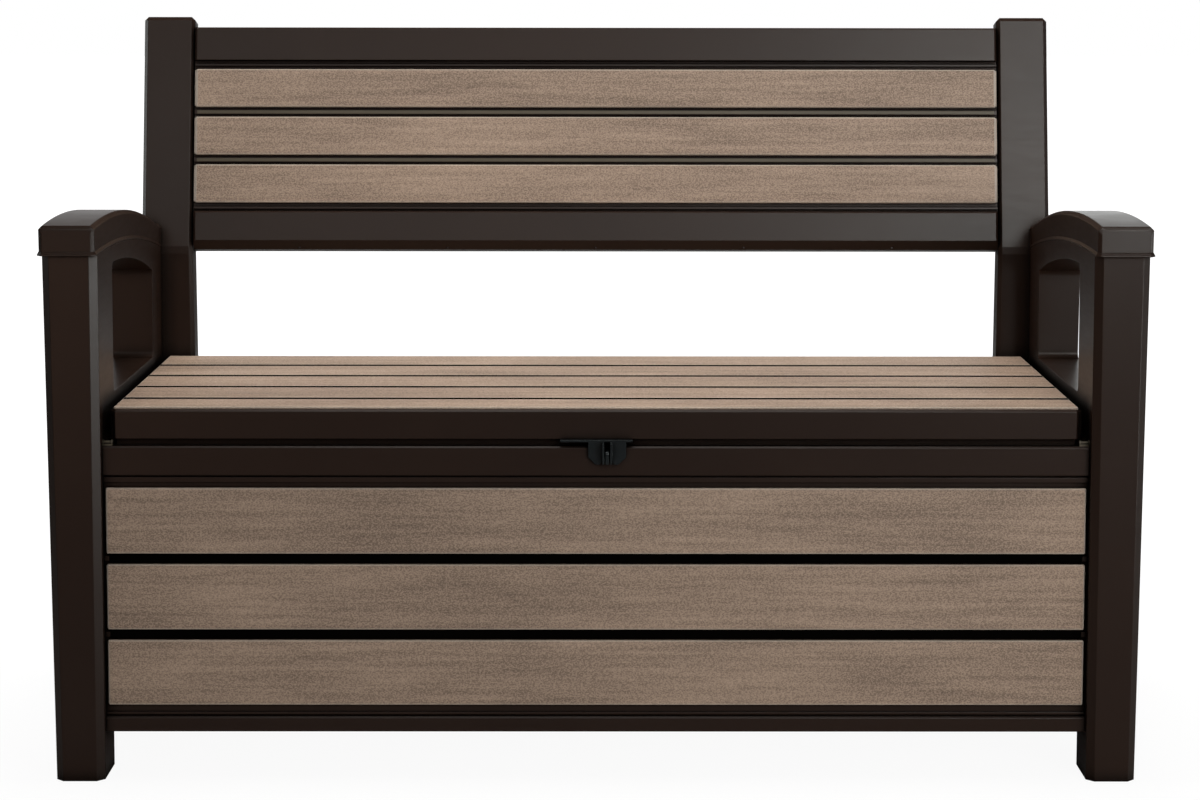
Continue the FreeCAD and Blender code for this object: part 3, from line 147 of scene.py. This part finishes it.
def feed(tree, socket, source):
    """Give a socket a link or a plain setting."""
    if isinstance(source, bpy.types.NodeSocket):
        tree.links.new(source, socket)
    else:
        socket.default_value = source


def add_math(tree, operation, first, second):
    """A Math node whose two inputs are links or plain numbers."""
    made = tree.nodes.new("ShaderNodeMath")
    made.operation = operation
    feed(tree, made.inputs[0], first)
    feed(tree, made.inputs[1], second)
    return made.outputs[0]


def mix_shaders(tree, share, first, second):
    """Two shaders mixed by a share."""
    made = tree.nodes.new("ShaderNodeMixShader")
    for socket, source in zip(made.inputs, (share, first.outputs[0], second.outputs[0])):
        tree.links.new(source, socket)
    return made.outputs[0]


# %% [markdown]
# The backdrop is white to the eye. In the world shader the camera sees plain white, and shiny surfaces see
# the same white where the backdrop stands, low behind the bench. The ceiling and the half of the studio
# behind the camera stay dim, and dimmer still in reflections, so the dark resin keeps its depth. A large
# white wall would do the same, but it would also throw light on the bench.

# %% Backdrop
DIM_LEVEL = 0.2
DIMMER_WHEN_SHINY = 0.13
world = bpy.data.worlds.new("studio")
scene.world = world
world.use_nodes = True
tree = world.node_tree
tree.nodes.clear()
rays = add_node(tree, "ShaderNodeLightPath")
direction = add_node(tree, "ShaderNodeTexCoord")
split = add_node(tree, "ShaderNodeSeparateXYZ")
tree.links.new(direction.outputs["Generated"], split.inputs[0])
behind = add_node(tree, "ShaderNodeMapRange", From_Min=-0.05, From_Max=0.45)
tree.links.new(split.outputs["Y"], behind.inputs["Value"])
below = add_node(tree, "ShaderNodeMapRange", From_Min=0.05, From_Max=0.4, To_Min=1.0, To_Max=0.0)
tree.links.new(split.outputs["Z"], below.inputs["Value"])
shiny = add_math(tree, "MAXIMUM", rays.outputs["Is Glossy Ray"], rays.outputs["Is Transmission Ray"])
backdrop = add_math(tree, "MULTIPLY", behind.outputs["Result"], below.outputs["Result"])
shiny_backdrop = add_math(tree, "MULTIPLY", shiny, backdrop)
white = add_math(tree, "MAXIMUM", rays.outputs["Is Camera Ray"], shiny_backdrop)
dim = add_node(tree, "ShaderNodeBackground", Color=(1.0, 0.98, 0.96, 1))
dim_level = add_math(tree, "SUBTRACT", DIM_LEVEL, add_math(tree, "MULTIPLY", shiny, DIMMER_WHEN_SHINY))
tree.links.new(dim_level, dim.inputs["Strength"])
bright = add_node(tree, "ShaderNodeBackground", Color=(1, 1, 1, 1), Strength=1.0)
out = add_node(tree, "ShaderNodeOutputWorld")
tree.links.new(mix_shaders(tree, white, dim, bright), out.inputs[0])
print("backdrop nodes:", len(tree.nodes))

# %% [markdown]
# The floor is one pale sheet. For the camera it glows, partly near the bench and fully further away, so that
# it meets the backdrop without a line and still shows a soft shadow under the bench. A floor that was only
# lit would turn grey towards the back.

# %% Floor
REACH = 30.0
GLOW_STARTS, GLOW_ENDS = 0.75, 2.2
GLOW_NEAR, GLOW_FAR = 0.78, 1.0
floor_mesh = bpy.data.meshes.new("studio_floor")
floor_mesh.from_pydata([(-REACH, -REACH, 0), (REACH, -REACH, 0), (REACH, REACH, 0), (-REACH, REACH, 0)],
                       [], [(0, 1, 2, 3)])
floor = bpy.data.objects.new("studio_floor", floor_mesh)
scene.collection.objects.link(floor)
floor_paint = bpy.data.materials.new("pale_floor")
floor_paint.use_nodes = True
tree = floor_paint.node_tree
tree.nodes.clear()
rays = add_node(tree, "ShaderNodeLightPath")
seen = add_math(tree, "MAXIMUM", rays.outputs["Is Camera Ray"], rays.outputs["Is Transmission Ray"])
place = add_node(tree, "ShaderNodeTexCoord")
distance = add_node(tree, "ShaderNodeVectorMath")
distance.operation = "LENGTH"
tree.links.new(place.outputs["Object"], distance.inputs[0])
glow_share = add_node(tree, "ShaderNodeMapRange", From_Min=GLOW_STARTS, From_Max=GLOW_ENDS,
                      To_Min=GLOW_NEAR, To_Max=GLOW_FAR)
tree.links.new(distance.outputs["Value"], glow_share.inputs["Value"])
share = add_math(tree, "MULTIPLY", seen, glow_share.outputs["Result"])
matt = add_node(tree, "ShaderNodeBsdfDiffuse", Color=(0.36, 0.36, 0.355, 1))
glow = add_node(tree, "ShaderNodeEmission", Color=(1, 1, 1, 1), Strength=1.2)
out = add_node(tree, "ShaderNodeOutputMaterial")
tree.links.new(mix_shaders(tree, share, matt, glow), out.inputs[0])
floor_mesh.materials.append(floor_paint)
print("floor reaches", REACH, "m each way")

# %% [markdown]
# An effect that several finishes share is a node group, so that each finish can place it with its own
# values. These helpers make an empty group, noise that is stretched along an axis, a value brought from one
# range to another, a mix of two colours and a weighted sum.

# %% Helpers for effects
def new_group(name, inputs, outputs):
    """An empty shader node group with named sockets, and its two end nodes."""
    made = bpy.data.node_groups.new(name, "ShaderNodeTree")
    for socket, kind, start in inputs:
        item = made.interface.new_socket(socket, in_out="INPUT", socket_type=kind)
        if start is not None:
            item.default_value = start
    for socket, kind in outputs:
        made.interface.new_socket(socket, in_out="OUTPUT", socket_type=kind)
    return made, made.nodes.new("NodeGroupInput"), made.nodes.new("NodeGroupOutput")


def stretched_noise(tree, vector, stretch, scale, detail=2.0, rough=0.5):
    """Noise on coordinates that are scaled differently along each axis."""
    mapping = add_node(tree, "ShaderNodeMapping", Scale=stretch)
    tree.links.new(vector, mapping.inputs["Vector"])
    noise = add_node(tree, "ShaderNodeTexNoise", Scale=scale, Detail=detail, Roughness=rough)
    tree.links.new(mapping.outputs[0], noise.inputs["Vector"])
    return noise.outputs["Fac"]


def rescale(tree, source, low, high, to_low=0.0, to_high=1.0):
    """A value rescaled from one range to another and clamped."""
    made = add_node(tree, "ShaderNodeMapRange", From_Min=low, From_Max=high, To_Min=to_low, To_Max=to_high)
    tree.links.new(source, made.inputs["Value"])
    return made.outputs["Result"]


def tint(tree, share, first, second):
    """Two colours mixed by a share."""
    made = tree.nodes.new("ShaderNodeMix")
    made.data_type = "RGBA"
    feed(tree, made.inputs[0], share)
    feed(tree, made.inputs[6], first)
    feed(tree, made.inputs[7], second)
    return made.outputs[2]


def weighted_sum(tree, *terms):
    """Values added up, each times its own weight."""
    total = 0.0
    for source, weight in terms:
        total = add_math(tree, "ADD", add_math(tree, "MULTIPLY", source, weight), total)
    return total


# %% [markdown]
# The moulded skin is the fine pebbled texture that a steel mould leaves on dark plastic, with a faint
# cloudiness in its colour. Narrow grooves and inside corners get painted shade: an Ambient Occlusion node
# tells how closed in a place is, and there the colour is painted black. That mask of painted shade also goes
# to Metallic, because a black metal mirrors almost nothing, while plastic keeps its gloss however dark it is.
# Pebbles are about a millimetre across, far too fine to model, so they are a bump.

# %% Moulded skin
PAINTED_SHADE_REACH = 25 * MM
PAINTED_SHADE_BLACK = (0.001, 0.0008, 0.0006, 1)
SKIN_IN = (("Vector", "NodeSocketVector", None), ("Colour", "NodeSocketColor", None),
           ("Cloud colour", "NodeSocketColor", None), ("Roughness", "NodeSocketFloat", 0.4))
SURFACE_OUT = (("Colour", "NodeSocketColor"), ("Roughness", "NodeSocketFloat"), ("Height", "NodeSocketFloat"))
skin, begin, end = new_group("moulded skin", SKIN_IN, SURFACE_OUT + (("Painted shade", "NodeSocketFloat"),))
place = begin.outputs["Vector"]
clouds = rescale(skin, stretched_noise(skin, place, (1, 1, 1), 6.0, 3.0), 0.35, 0.7)
pebbles = stretched_noise(skin, place, (1, 1, 1), 900.0, 1.0)
streaks = stretched_noise(skin, place, (1, 1, 6), 30.0, 3.0)
closed_in = add_node(skin, "ShaderNodeAmbientOcclusion", Distance=PAINTED_SHADE_REACH)
closed_in.samples = 6
# Painted shade: closed-in places are painted towards black and rougher, and the mask goes out too.
groove = rescale(skin, closed_in.outputs["AO"], 0.4, 0.85, 1.0, 0.0)
colour = tint(skin, clouds, begin.outputs["Colour"], begin.outputs["Cloud colour"])
colour = tint(skin, add_math(skin, "MULTIPLY", groove, 0.9), colour, PAINTED_SHADE_BLACK)
shine = add_math(skin, "ADD", begin.outputs["Roughness"], rescale(skin, streaks, 0.3, 0.7, -0.015, 0.015))
shine = add_math(skin, "ADD", shine, add_math(skin, "MULTIPLY", groove, 0.5))
skin.links.new(colour, end.inputs["Colour"])
skin.links.new(shine, end.inputs["Roughness"])
skin.links.new(pebbles, end.inputs["Height"])
skin.links.new(groove, end.inputs["Painted shade"])
print("group:", skin.name, "with", len(skin.nodes), "nodes")

# %% [markdown]
# The plank grain imitates sawn timber: soft clouds, faint streaks along the board and above all a speckle
# about three millimetres long. A wave texture would give rings like those of real wood, but this resin has
# none. All boards run along X, so the grain is noise that is stretched along that axis. An attribute of the
# boards says where their edges are, and there the colour is painted paler, a painted highlight.

# %% Plank grain
EDGE_LINE = "edge_line"
GRAIN_IN = (("Vector", "NodeSocketVector", None), ("Light wood", "NodeSocketColor", None),
            ("Dark wood", "NodeSocketColor", None), ("Streak", "NodeSocketColor", None),
            ("Painted edge highlight", "NodeSocketColor", None))
grain, begin, end = new_group("plank grain", GRAIN_IN, SURFACE_OUT)
place = begin.outputs["Vector"]
clouds = rescale(grain, stretched_noise(grain, place, (0.5, 1.6, 1.6), 6.0, 3.0, 0.55), 0.3, 0.7)
bands = rescale(grain, stretched_noise(grain, place, (0.05, 1, 1), 150.0, 3.0, 0.55), 0.34, 0.66)
specks = rescale(grain, stretched_noise(grain, place, (0.7, 1, 1), 640.0, 2.0, 0.7), 0.41, 0.59)
dust = rescale(grain, stretched_noise(grain, place, (0.7, 1, 1), 1400.0, 1.0, 0.6), 0.35, 0.65)
cracks = stretched_noise(grain, place, (0.05, 1, 1), 120.0, 5.0, 0.65)
tone = weighted_sum(grain, (clouds, 0.26), (bands, 0.2), (specks, 0.38), (dust, 0.16))
timber = tint(grain, tone, begin.outputs["Dark wood"], begin.outputs["Light wood"])
timber = tint(grain, rescale(grain, cracks, 0.62, 0.76, 0.0, 0.35), timber, begin.outputs["Streak"])
# Painted highlight: a paler colour along the edges and ends, where the boards' edge number says.
painted_highlight = add_node(grain, "ShaderNodeAttribute")
painted_highlight.attribute_name = EDGE_LINE
timber = tint(grain, painted_highlight.outputs["Fac"], timber, begin.outputs["Painted edge highlight"])
relief = weighted_sum(grain, (specks, 0.6), (dust, 0.4))
grain.links.new(timber, end.inputs["Colour"])
grain.links.new(rescale(grain, tone, 0.2, 0.8, 0.68, 0.55), end.inputs["Roughness"])
grain.links.new(relief, end.inputs["Height"])
print("group:", grain.name, "with", len(grain.nodes), "nodes")

# %% [markdown]
# Now the finishes. The dark resin is an espresso brown with a satin skin. The wood-look resin takes the
# grain. The lock is glossy black, and the screws are zinc-plated steel with faint brushing. Two more are
# for thin trim: resin painted paler for the ribs in the back, a painted sheen, and a dead black with no
# gloss at all, painted shade at the bottom of a groove. The normal of the resin and the lock also comes
# through a Bevel node, which softens the edges that the solids leave sharp, as every moulded edge is a
# little round.

# %% Finishes
def finish_with(name, group, settings, bump_mm, strength, soften_mm=0.0, **principled):
    """A Principled material whose colour, roughness and relief come from a group on Object coordinates."""
    made = bpy.data.materials.new(name)
    made.use_nodes = True
    tree = made.node_tree
    tree.nodes.clear()
    coordinates = add_node(tree, "ShaderNodeTexCoord")
    effect = tree.nodes.new("ShaderNodeGroup")
    effect.node_tree = group
    for key, setting in settings.items():
        effect.inputs[key].default_value = setting
    tree.links.new(coordinates.outputs["Object"], effect.inputs["Vector"])
    shader = add_node(tree, "ShaderNodeBsdfPrincipled", **principled)
    bump = add_node(tree, "ShaderNodeBump", Strength=strength, Distance=bump_mm * MM)
    tree.links.new(effect.outputs["Height"], bump.inputs["Height"])
    if soften_mm:
        soften = tree.nodes.new("ShaderNodeBevel")
        soften.samples = 6
        soften.inputs["Radius"].default_value = soften_mm * MM
        tree.links.new(soften.outputs[0], bump.inputs["Normal"])
    # The painted shade goes to Metallic as well, so painted-black places lose their gloss.
    if group == skin and not principled.get("Metallic"):
        tree.links.new(effect.outputs["Painted shade"], shader.inputs["Metallic"])
    tree.links.new(effect.outputs["Colour"], shader.inputs["Base Color"])
    tree.links.new(effect.outputs["Roughness"], shader.inputs["Roughness"])
    tree.links.new(bump.outputs[0], shader.inputs["Normal"])
    out = add_node(tree, "ShaderNodeOutputMaterial")
    tree.links.new(shader.outputs[0], out.inputs[0])
    return made


espresso = {"Colour": (0.0195, 0.0096, 0.0060, 1), "Cloud colour": (0.0222, 0.0113, 0.0072, 1),
            "Roughness": 0.33}
# Resin painted paler: a painted sheen for the light that the rounded ribs catch.
dusty = {"Colour": (0.083, 0.066, 0.043, 1), "Cloud colour": (0.1, 0.081, 0.054, 1), "Roughness": 0.45}
# Near black without gloss: painted shade for the bottom of deep gaps.
shade = {"Colour": (0.0015, 0.0012, 0.001, 1), "Cloud colour": (0.002, 0.0016, 0.0013, 1), "Roughness": 0.9}
# The last colour is a painted highlight for the board edges.
wood_and_edge_highlight = {"Light wood": (0.53, 0.38, 0.275, 1), "Dark wood": (0.105, 0.069, 0.0485, 1),
             "Streak": (0.09, 0.059, 0.041, 1), "Painted edge highlight": (0.62, 0.55, 0.47, 1)}
gloss = {"Colour": (0.006, 0.0085, 0.0095, 1), "Cloud colour": (0.008, 0.0105, 0.0115, 1), "Roughness": 0.14}
zinc = {"Colour": (0.52, 0.52, 0.51, 1), "Cloud colour": (0.62, 0.61, 0.58, 1), "Roughness": 0.34}
FINISHES = {
    "dark_resin": finish_with("dark_resin", skin, espresso, bump_mm=0.05, strength=0.4, soften_mm=1.4,
                              Specular_IOR_Level=0.16),
    "wood_look_resin": finish_with("wood_look_resin", grain, wood_and_edge_highlight, bump_mm=0.2, strength=0.5,
                                   Specular_IOR_Level=0.32),
    "black_lock": finish_with("black_lock", skin, gloss, bump_mm=0.02, strength=0.1, soften_mm=1.2,
                              Specular_IOR_Level=0.35),
    "steel": finish_with("steel", skin, zinc, bump_mm=0.02, strength=0.2, Metallic=1.0),
}
# The ribs' finish is a painted sheen.
SHEEN_PAINTED_RIB = finish_with("dusty_rib", skin, dusty, bump_mm=0.05, strength=0.25, Specular_IOR_Level=0.2)
# Painted shade: a finish of dead black for the strips in the gaps.
PAINTED_GROOVE_SHADE = finish_with("groove_shade", skin, shade, bump_mm=0.05, strength=0.25, Specular_IOR_Level=0.0)
for name, solid in nodes.items():
    solid.data.materials.clear()
    solid.data.materials.append(FINISHES[slot_of[name]])
print("finishes:", list(FINISHES))

# %% [markdown]
# New pieces take the place of solids whose edges are too plain. Each is worked out as an array of points
# and joined into faces here. A mesh whose signed volume comes out negative is inside out, so its faces are
# turned. The piece then rides on the body of its solid. It stands for that solid and takes its finish,
# unless it is trim with a finish of its own, which is laid on the solid.

# %% From points to a piece of the bench
def signed_volume(mesh):
    """Sum over all triangles of the volume that each spans with the origin, positive if faces point out."""
    mesh.calc_loop_triangles()
    corners = np.empty(len(mesh.loop_triangles) * 3, dtype=np.int32)
    mesh.loop_triangles.foreach_get("vertices", corners)
    places = np.empty(len(mesh.vertices) * 3)
    mesh.vertices.foreach_get("co", places)
    a, b, c = places.reshape(-1, 3)[corners].reshape(-1, 3, 3).transpose(1, 0, 2)
    return np.einsum("ij,ij->i", a, np.cross(b, c)).sum() / 6


def add_piece(name, points, faces, node, round_mm=0.0, trim_finish=None):
    """A closed mesh for a solid, rounded by a bevel if asked, with flat faces kept flat in the light."""
    mesh = bpy.data.meshes.new(name)
    mesh.from_pydata(points.reshape(-1, 3).tolist(), [], faces)
    if signed_volume(mesh) < 0:
        mesh.flip_normals()
    mesh.shade_smooth()
    mesh.materials.append(trim_finish or FINISHES[slot_of[node]])
    piece = bpy.data.objects.new(name, mesh)
    scene.collection.objects.link(piece)
    if round_mm:
        bevel = piece.modifiers.new("rounded_edges", "BEVEL")
        bevel.width = round_mm * MM
        bevel.segments = 3
        bevel.limit_method = "ANGLE"
        bevel.angle_limit = math.radians(20)
    weighted = piece.modifiers.new("flat_faces", "WEIGHTED_NORMAL")
    weighted.keep_sharp = False
    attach(piece, body_of[node])
    if not trim_finish:
        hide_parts(node)
    return piece


def ring_faces(count, around):
    """Quads that join each ring of points to the next, and one face over each end."""
    ring, step = np.meshgrid(np.arange(count - 1), np.arange(around), indexing="ij")
    here = ring * around + step
    beside = ring * around + (step + 1) % around
    quads = np.stack([here, beside, beside + around, here + around], axis=-1).reshape(-1, 4).tolist()
    first = np.arange(around)
    return quads + [first[::-1].tolist(), (first + (count - 1) * around).tolist()]


# %% [markdown]
# The planks are boards with slightly rounded edges and ends, which catch a thin line of light. A box with a
# bevel would do, but a section carried along the board gives the same and follows the ends of the front
# boards, which lean with the legs. The section is a rectangle with quarter-circle corners. Towards each end
# it is drawn in by a flat bevel. Back boards are tipped by the recline, and seat boards lie flat, which is
# a tip of a quarter turn. A number on every point says how near it is to an edge, and the grain reads it to
# paint a paler line there, a painted highlight on the edges and more on the ends. Points close beside each
# corner and bevel let that number fall off within a millimetre.

# %% Planks
EDGE = 1.3 * MM
FADE = 0.8 * MM
QUARTER = np.radians([0, 0, 30, 60, 90, 90])
SLIDE = np.tile([-FADE, 0, 0, 0, 0, FADE], 4)[:, None]
TURNS = np.concatenate([QUARTER + corner * math.pi / 2 for corner in range(4)])
CORNERS = np.repeat([[1, 1], [-1, 1], [-1, -1], [1, -1]], len(QUARTER), axis=0)
# Strength of the painted highlight on the long edges and on the bevelled ends.
EDGE_HIGHLIGHT, END_HIGHLIGHT = 0.3, 0.6
NEAR_EDGE = np.maximum(EDGE_HIGHLIGHT * (SLIDE[:, 0] == 0), END_HIGHLIGHT * np.array([1, 1, 0, 0, 1, 1])[:, None])


def board_points(middle, half_length, thick, height, tip, draft=0.0, bevel=(EDGE, EDGE)):
    """Rings of a board along X.

    Each ring is a rectangle with corners of radius EDGE: corner centre plus radius times (cos a, sin a), with
    a point slid a distance FADE along the flat on either side. The first and last ring are drawn in by the
    bevel's depth, the next ones lie the bevel's length further in, and the next FADE further. A draft makes
    the board longer towards its lower edge, and tip turns the section about X.
    """
    inset = bevel[0] * np.array([0, 1, 1, 1, 1, 0]) + FADE * np.array([0, 0, 1, 1, 0, 0])
    drawn_in = bevel[1] * np.array([1, 0, 0, 0, 0, 1])[:, None, None]
    end = np.array([-1, -1, -1, 1, 1, 1])[:, None]
    arc = np.stack([np.cos(TURNS), np.sin(TURNS)], axis=-1) * EDGE
    arc = arc + SLIDE * np.stack([-np.sin(TURNS), np.cos(TURNS)], axis=-1)
    section = CORNERS * (np.array([thick, height]) / 2 - EDGE) + arc
    section = section * (1 - drawn_in / np.array([thick / 2, height / 2]))
    depth, rise = section[..., 0], section[..., 1]
    x = middle[0] + end * (half_length - inset[:, None] - (rise + height / 2) * math.tan(draft))
    y = middle[1] + depth * math.cos(tip) + rise * math.sin(tip)
    z = middle[2] - depth * math.sin(tip) + rise * math.cos(tip)
    return np.stack([x, y, z], axis=-1)


def board(node, tip, narrower=0.0, **ends):
    """A board that fills the box of its solid: the box's two sides give the board's thickness and height."""
    low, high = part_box(node)
    size = high - low
    c, s = math.cos(tip), math.sin(tip)
    thick = (c * size.y - s * size.z) / (c * c - s * s)
    height = (c * size.z - s * size.y) / (c * c - s * s)
    points = board_points((low + high) / 2, size.x / 2, thick, height - narrower, tip, **ends)
    piece = add_piece(node + "_board", points, ring_faces(*points.shape[:2]), node)
    piece.data.attributes.new(EDGE_LINE, "FLOAT", "POINT").data.foreach_set("value", NEAR_EDGE.ravel())
    return piece


LEG_DRAFT = math.radians(0.62)
BACK_END = (3.4 * MM, 1.6 * MM)
RECLINE = math.radians(13)
SEAT_TRIM = 3 * MM
boards = [board(f"front_plank_{row}", 0.0, draft=LEG_DRAFT) for row in (1, 2, 3)]
boards += [board(f"back_plank_{row}", RECLINE, bevel=BACK_END) for row in (1, 2, 3)]
boards += [board(f"seat_plank_{row}", math.pi / 2, narrower=SEAT_TRIM) for row in (1, 2, 3, 4, 5)]
print("boards:", len(boards))

# %% [markdown]
# Thin trim lies between the boards. The back shows a rib in the middle of each gap, painted paler than the
# resin: a painted sheen for the light its rounded top catches. Gaps in the front and in the seat are narrow
# and deep, so they get painted shade: a black strip without any gloss lies at the bottom of each. All of
# these are thin boards again, placed midway between the boards on either side. A short upright board also
# closes each end of the open-backed back frame, so that no light shows past the posts.

# %% Ribs with painted sheen, strips of painted shade, and end walls
def trim(name, middle, half_length, thick, height, tip, node, finish):
    """A thin board that is laid on a solid."""
    points = board_points(middle, half_length, thick, height, tip)
    return add_piece(name, points, ring_faces(*points.shape[:2]), node, trim_finish=finish)


def gap_between(first, second):
    """Middle of the boxes of two neighbouring boards, half their length, and the space along Y and Z."""
    (low_a, high_a), (low_b, high_b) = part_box(first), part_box(second)
    space = [max(low_b[axis] - high_a[axis], low_a[axis] - high_b[axis]) for axis in (1, 2)]
    return (low_a + high_a + low_b + high_b) / 4, (high_a.x - low_a.x) / 2, space


BACKWARD = Vector((0, math.cos(RECLINE), -math.sin(RECLINE)))
END_PLAY = 2 * MM
RIB = (5 * MM, 6 * MM)
RIB_SINK = 2.2 * MM
STRIP = 2.8 * MM
FRONT_SINK = Vector((0, 1.5, 0.8)) * MM
FRONT_PLAY = 2.2 * MM
SEAT_SINK = 0.1 * MM
strips = []
for row in (1, 2):
    # A rib painted paler: a painted sheen.
    middle, half, _ = gap_between(f"back_plank_{row}", f"back_plank_{row + 1}")
    middle = middle + BACKWARD * RIB_SINK
    strips.append(trim(f"back_rib_{row}", middle, half - END_PLAY, *RIB, RECLINE,
                       "backrest_frame", SHEEN_PAINTED_RIB))
    # Painted shade: a strip of dead black at the bottom of each front gap.
    middle, half, space = gap_between(f"front_plank_{row}", f"front_plank_{row + 1}")
    strips.append(trim(f"front_painted_shade_{row}", middle + FRONT_SINK, half - END_PLAY, STRIP,
                       space[1] - FRONT_PLAY, 0.0, "front_panel_frame", PAINTED_GROOVE_SHADE))
# Painted shade: a strip of dead black at the bottom of each seat gap.
for row in (1, 2, 3, 4):
    middle, half, space = gap_between(f"seat_plank_{row}", f"seat_plank_{row + 1}")
    middle.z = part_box("seat_plank_1")[1].z - SEAT_SINK - STRIP / 2
    middle.y = (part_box(f"seat_plank_{row}")[1].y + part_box(f"seat_plank_{row + 1}")[0].y) / 2
    strips.append(trim(f"seat_painted_shade_{row}", middle, half, STRIP, space[0] + SEAT_TRIM, math.pi / 2,
                       "lid_frame", PAINTED_GROOVE_SHADE))
WALL_INSET, WALL_SINK = 4 * MM, 6.5 * MM
WALL = (3.8 * MM, 8 * MM, 292 * MM)
low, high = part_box("back_plank_2")
for name, side in (("left_back_end", -1), ("right_back_end", 1)):
    middle = (low + high) / 2 + BACKWARD * WALL_SINK
    middle.x = side * (high.x - WALL_INSET)
    strips.append(trim(name, middle, *WALL, RECLINE, "backrest_frame", FINISHES["dark_resin"]))
# The panel pegs take the rib finish too, a painted highlight on them.
nodes["panel_pegs"].data.materials[0] = SHEEN_PAINTED_RIB
print("trim:", [strip.name for strip in strips])

# %% [markdown]
# Each arm wears a curved cap. Its section is a box with cut corners, carried from front to back between two
# arcs: one for the top, one for the lower edge. The front ring is drawn in, by less at the sides than at
# the top, which gives the front its sloping borders. The rear ring lies against the reclined post, and just
# before it the section steps out into a low rim. Along the lower edge runs a lip with a flared profile,
# which goes round the front as well.

# %% Arm caps
LEG_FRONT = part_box("left_side_frame")[0].y
LIP_ARC = (637.3 * MM, LEG_FRONT + 92 * MM, 2034 * MM)
TOP_ARC = (674.4 * MM, LEG_FRONT + 114 * MM, 1584 * MM)
CAP_CUT = 4.5 * MM
FRONT_CUT = 4 * MM
CAP_LIP = 2 * MM
FACE_LEAN = 2.4 * MM
RIM_RISE, RIM_LENGTH = 1.2 * MM, 5 * MM
RIM_STEP = 0.001
POST_GAP, POST_BEND = 0.3 * MM, 594 * MM
POST_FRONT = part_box("left_back_post")[0].y - POST_GAP
NEAR_POST = 0.2
CAP_RINGS = 26
LIP_RINGS = 20
LIP_PROFILE = np.array([[-1, 0], [2, 0], [2, 1.6], [1.1, 2.8], [0.35, 4.6], [-1, 5.2]]) * MM


def arc_height(arc, y):
    """Height of an arc of a circle: its peak less the sag, r - sqrt(r^2 - d^2), at a distance d from it."""
    peak, place, radius = arc
    return peak - radius + np.sqrt(radius ** 2 - (y - place) ** 2)


def against_post(z):
    """Y of the plane of the post's front, which leans back above its bend."""
    return POST_FRONT + (z - POST_BEND) * math.tan(RECLINE)


def cap_points(inner, outer, front):
    """Rings of a cap from front to back.

    Each ring has six corners: two on the lower arc, two below the cut corners and two on the top. A ring lies
    at a share of the way from the front face to the plane of the post, so the last one fits the lean of the
    post. The upper corners of the front face lie a little further back than the lower ones.
    """
    length = against_post(arc_height(TOP_ARC, NEAR_POST)) - front
    rim_start = 1 - RIM_LENGTH / length
    share = np.linspace(CAP_CUT / length, rim_start, CAP_RINGS)
    share = np.concatenate([[0.0], share, [rim_start + RIM_STEP, 1.0]])
    wide = np.concatenate([[-FRONT_CUT], np.zeros(CAP_RINGS), [RIM_RISE, RIM_RISE]])[:, None]
    tall = np.concatenate([[-CAP_CUT], np.zeros(CAP_RINGS), [RIM_RISE, RIM_RISE]])[:, None]
    up = np.array([0, 1, 1, 1, 1, 0.0])
    cut = np.array([0, 1, 0, 0, 1, 0.0]) * CAP_CUT
    lean = (share == 0)[:, None] * up * FACE_LEAN
    x = np.array([inner, inner, inner + CAP_CUT, outer - CAP_CUT, outer, outer])
    x = x + wide * np.array([-1, -1, -1, 1, 1, 1])
    y = np.repeat(front + share[:, None] * length, 6, axis=1)
    # A point's height and its depth hang on each other, and three rounds settle both.
    for _ in range(3):
        z = (1 - up) * arc_height(LIP_ARC, y) + up * (arc_height(TOP_ARC, y) + tall - cut)
        y = front + share[:, None] * (against_post(z) - front) + lean
    return np.stack([x, y, z], axis=-1)


def lip_points(inner, outer, front):
    """Rings of a lip: a flared profile carried along a path that runs up one side, round the front and back.

    A profile point stands out by a distance d and up by h. The path's outline moved out by d has corners cut
    by FRONT_CUT + d (2 - sqrt 2), as lines at 45 degrees do. Heights follow the cap's lower arc.
    """
    out, up = LIP_PROFILE.T
    cut = FRONT_CUT + out * (2 - math.sqrt(2))
    nose = front - out
    end = against_post(arc_height(LIP_ARC, NEAR_POST)) - RIM_LENGTH / 2
    along = np.linspace(0, 1, LIP_RINGS)[:, None]
    side_y = end + along * (nose + cut - end)
    side_x = np.ones_like(along)
    across = [inner - out + cut, outer + out - cut]
    x = np.concatenate([side_x * (inner - out), across, side_x * (outer + out)])
    y = np.concatenate([side_y, [nose, nose], side_y[::-1]])
    return np.stack([x, y, arc_height(LIP_ARC, y) + up], axis=-1)


for node, side in (("left_arm_cap", -1), ("right_arm_cap", 1)):
    low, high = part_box(node)
    inner, outer = sorted((abs(low.x), abs(high.x)))
    mirror = np.array([side, 1, 1])
    walls = (inner + CAP_LIP, outer - CAP_LIP, low.y + CAP_LIP)
    shell = cap_points(*walls) * mirror
    lip = lip_points(*walls) * mirror
    add_piece(node + "_shell", shell, ring_faces(*shell.shape[:2]), node, round_mm=1.1)
    add_piece(node + "_lip", lip, ring_faces(*lip.shape[:2]), node, round_mm=0.4)
    print(node, "shell and lip:", len(shell), "and", len(lip), "rings")
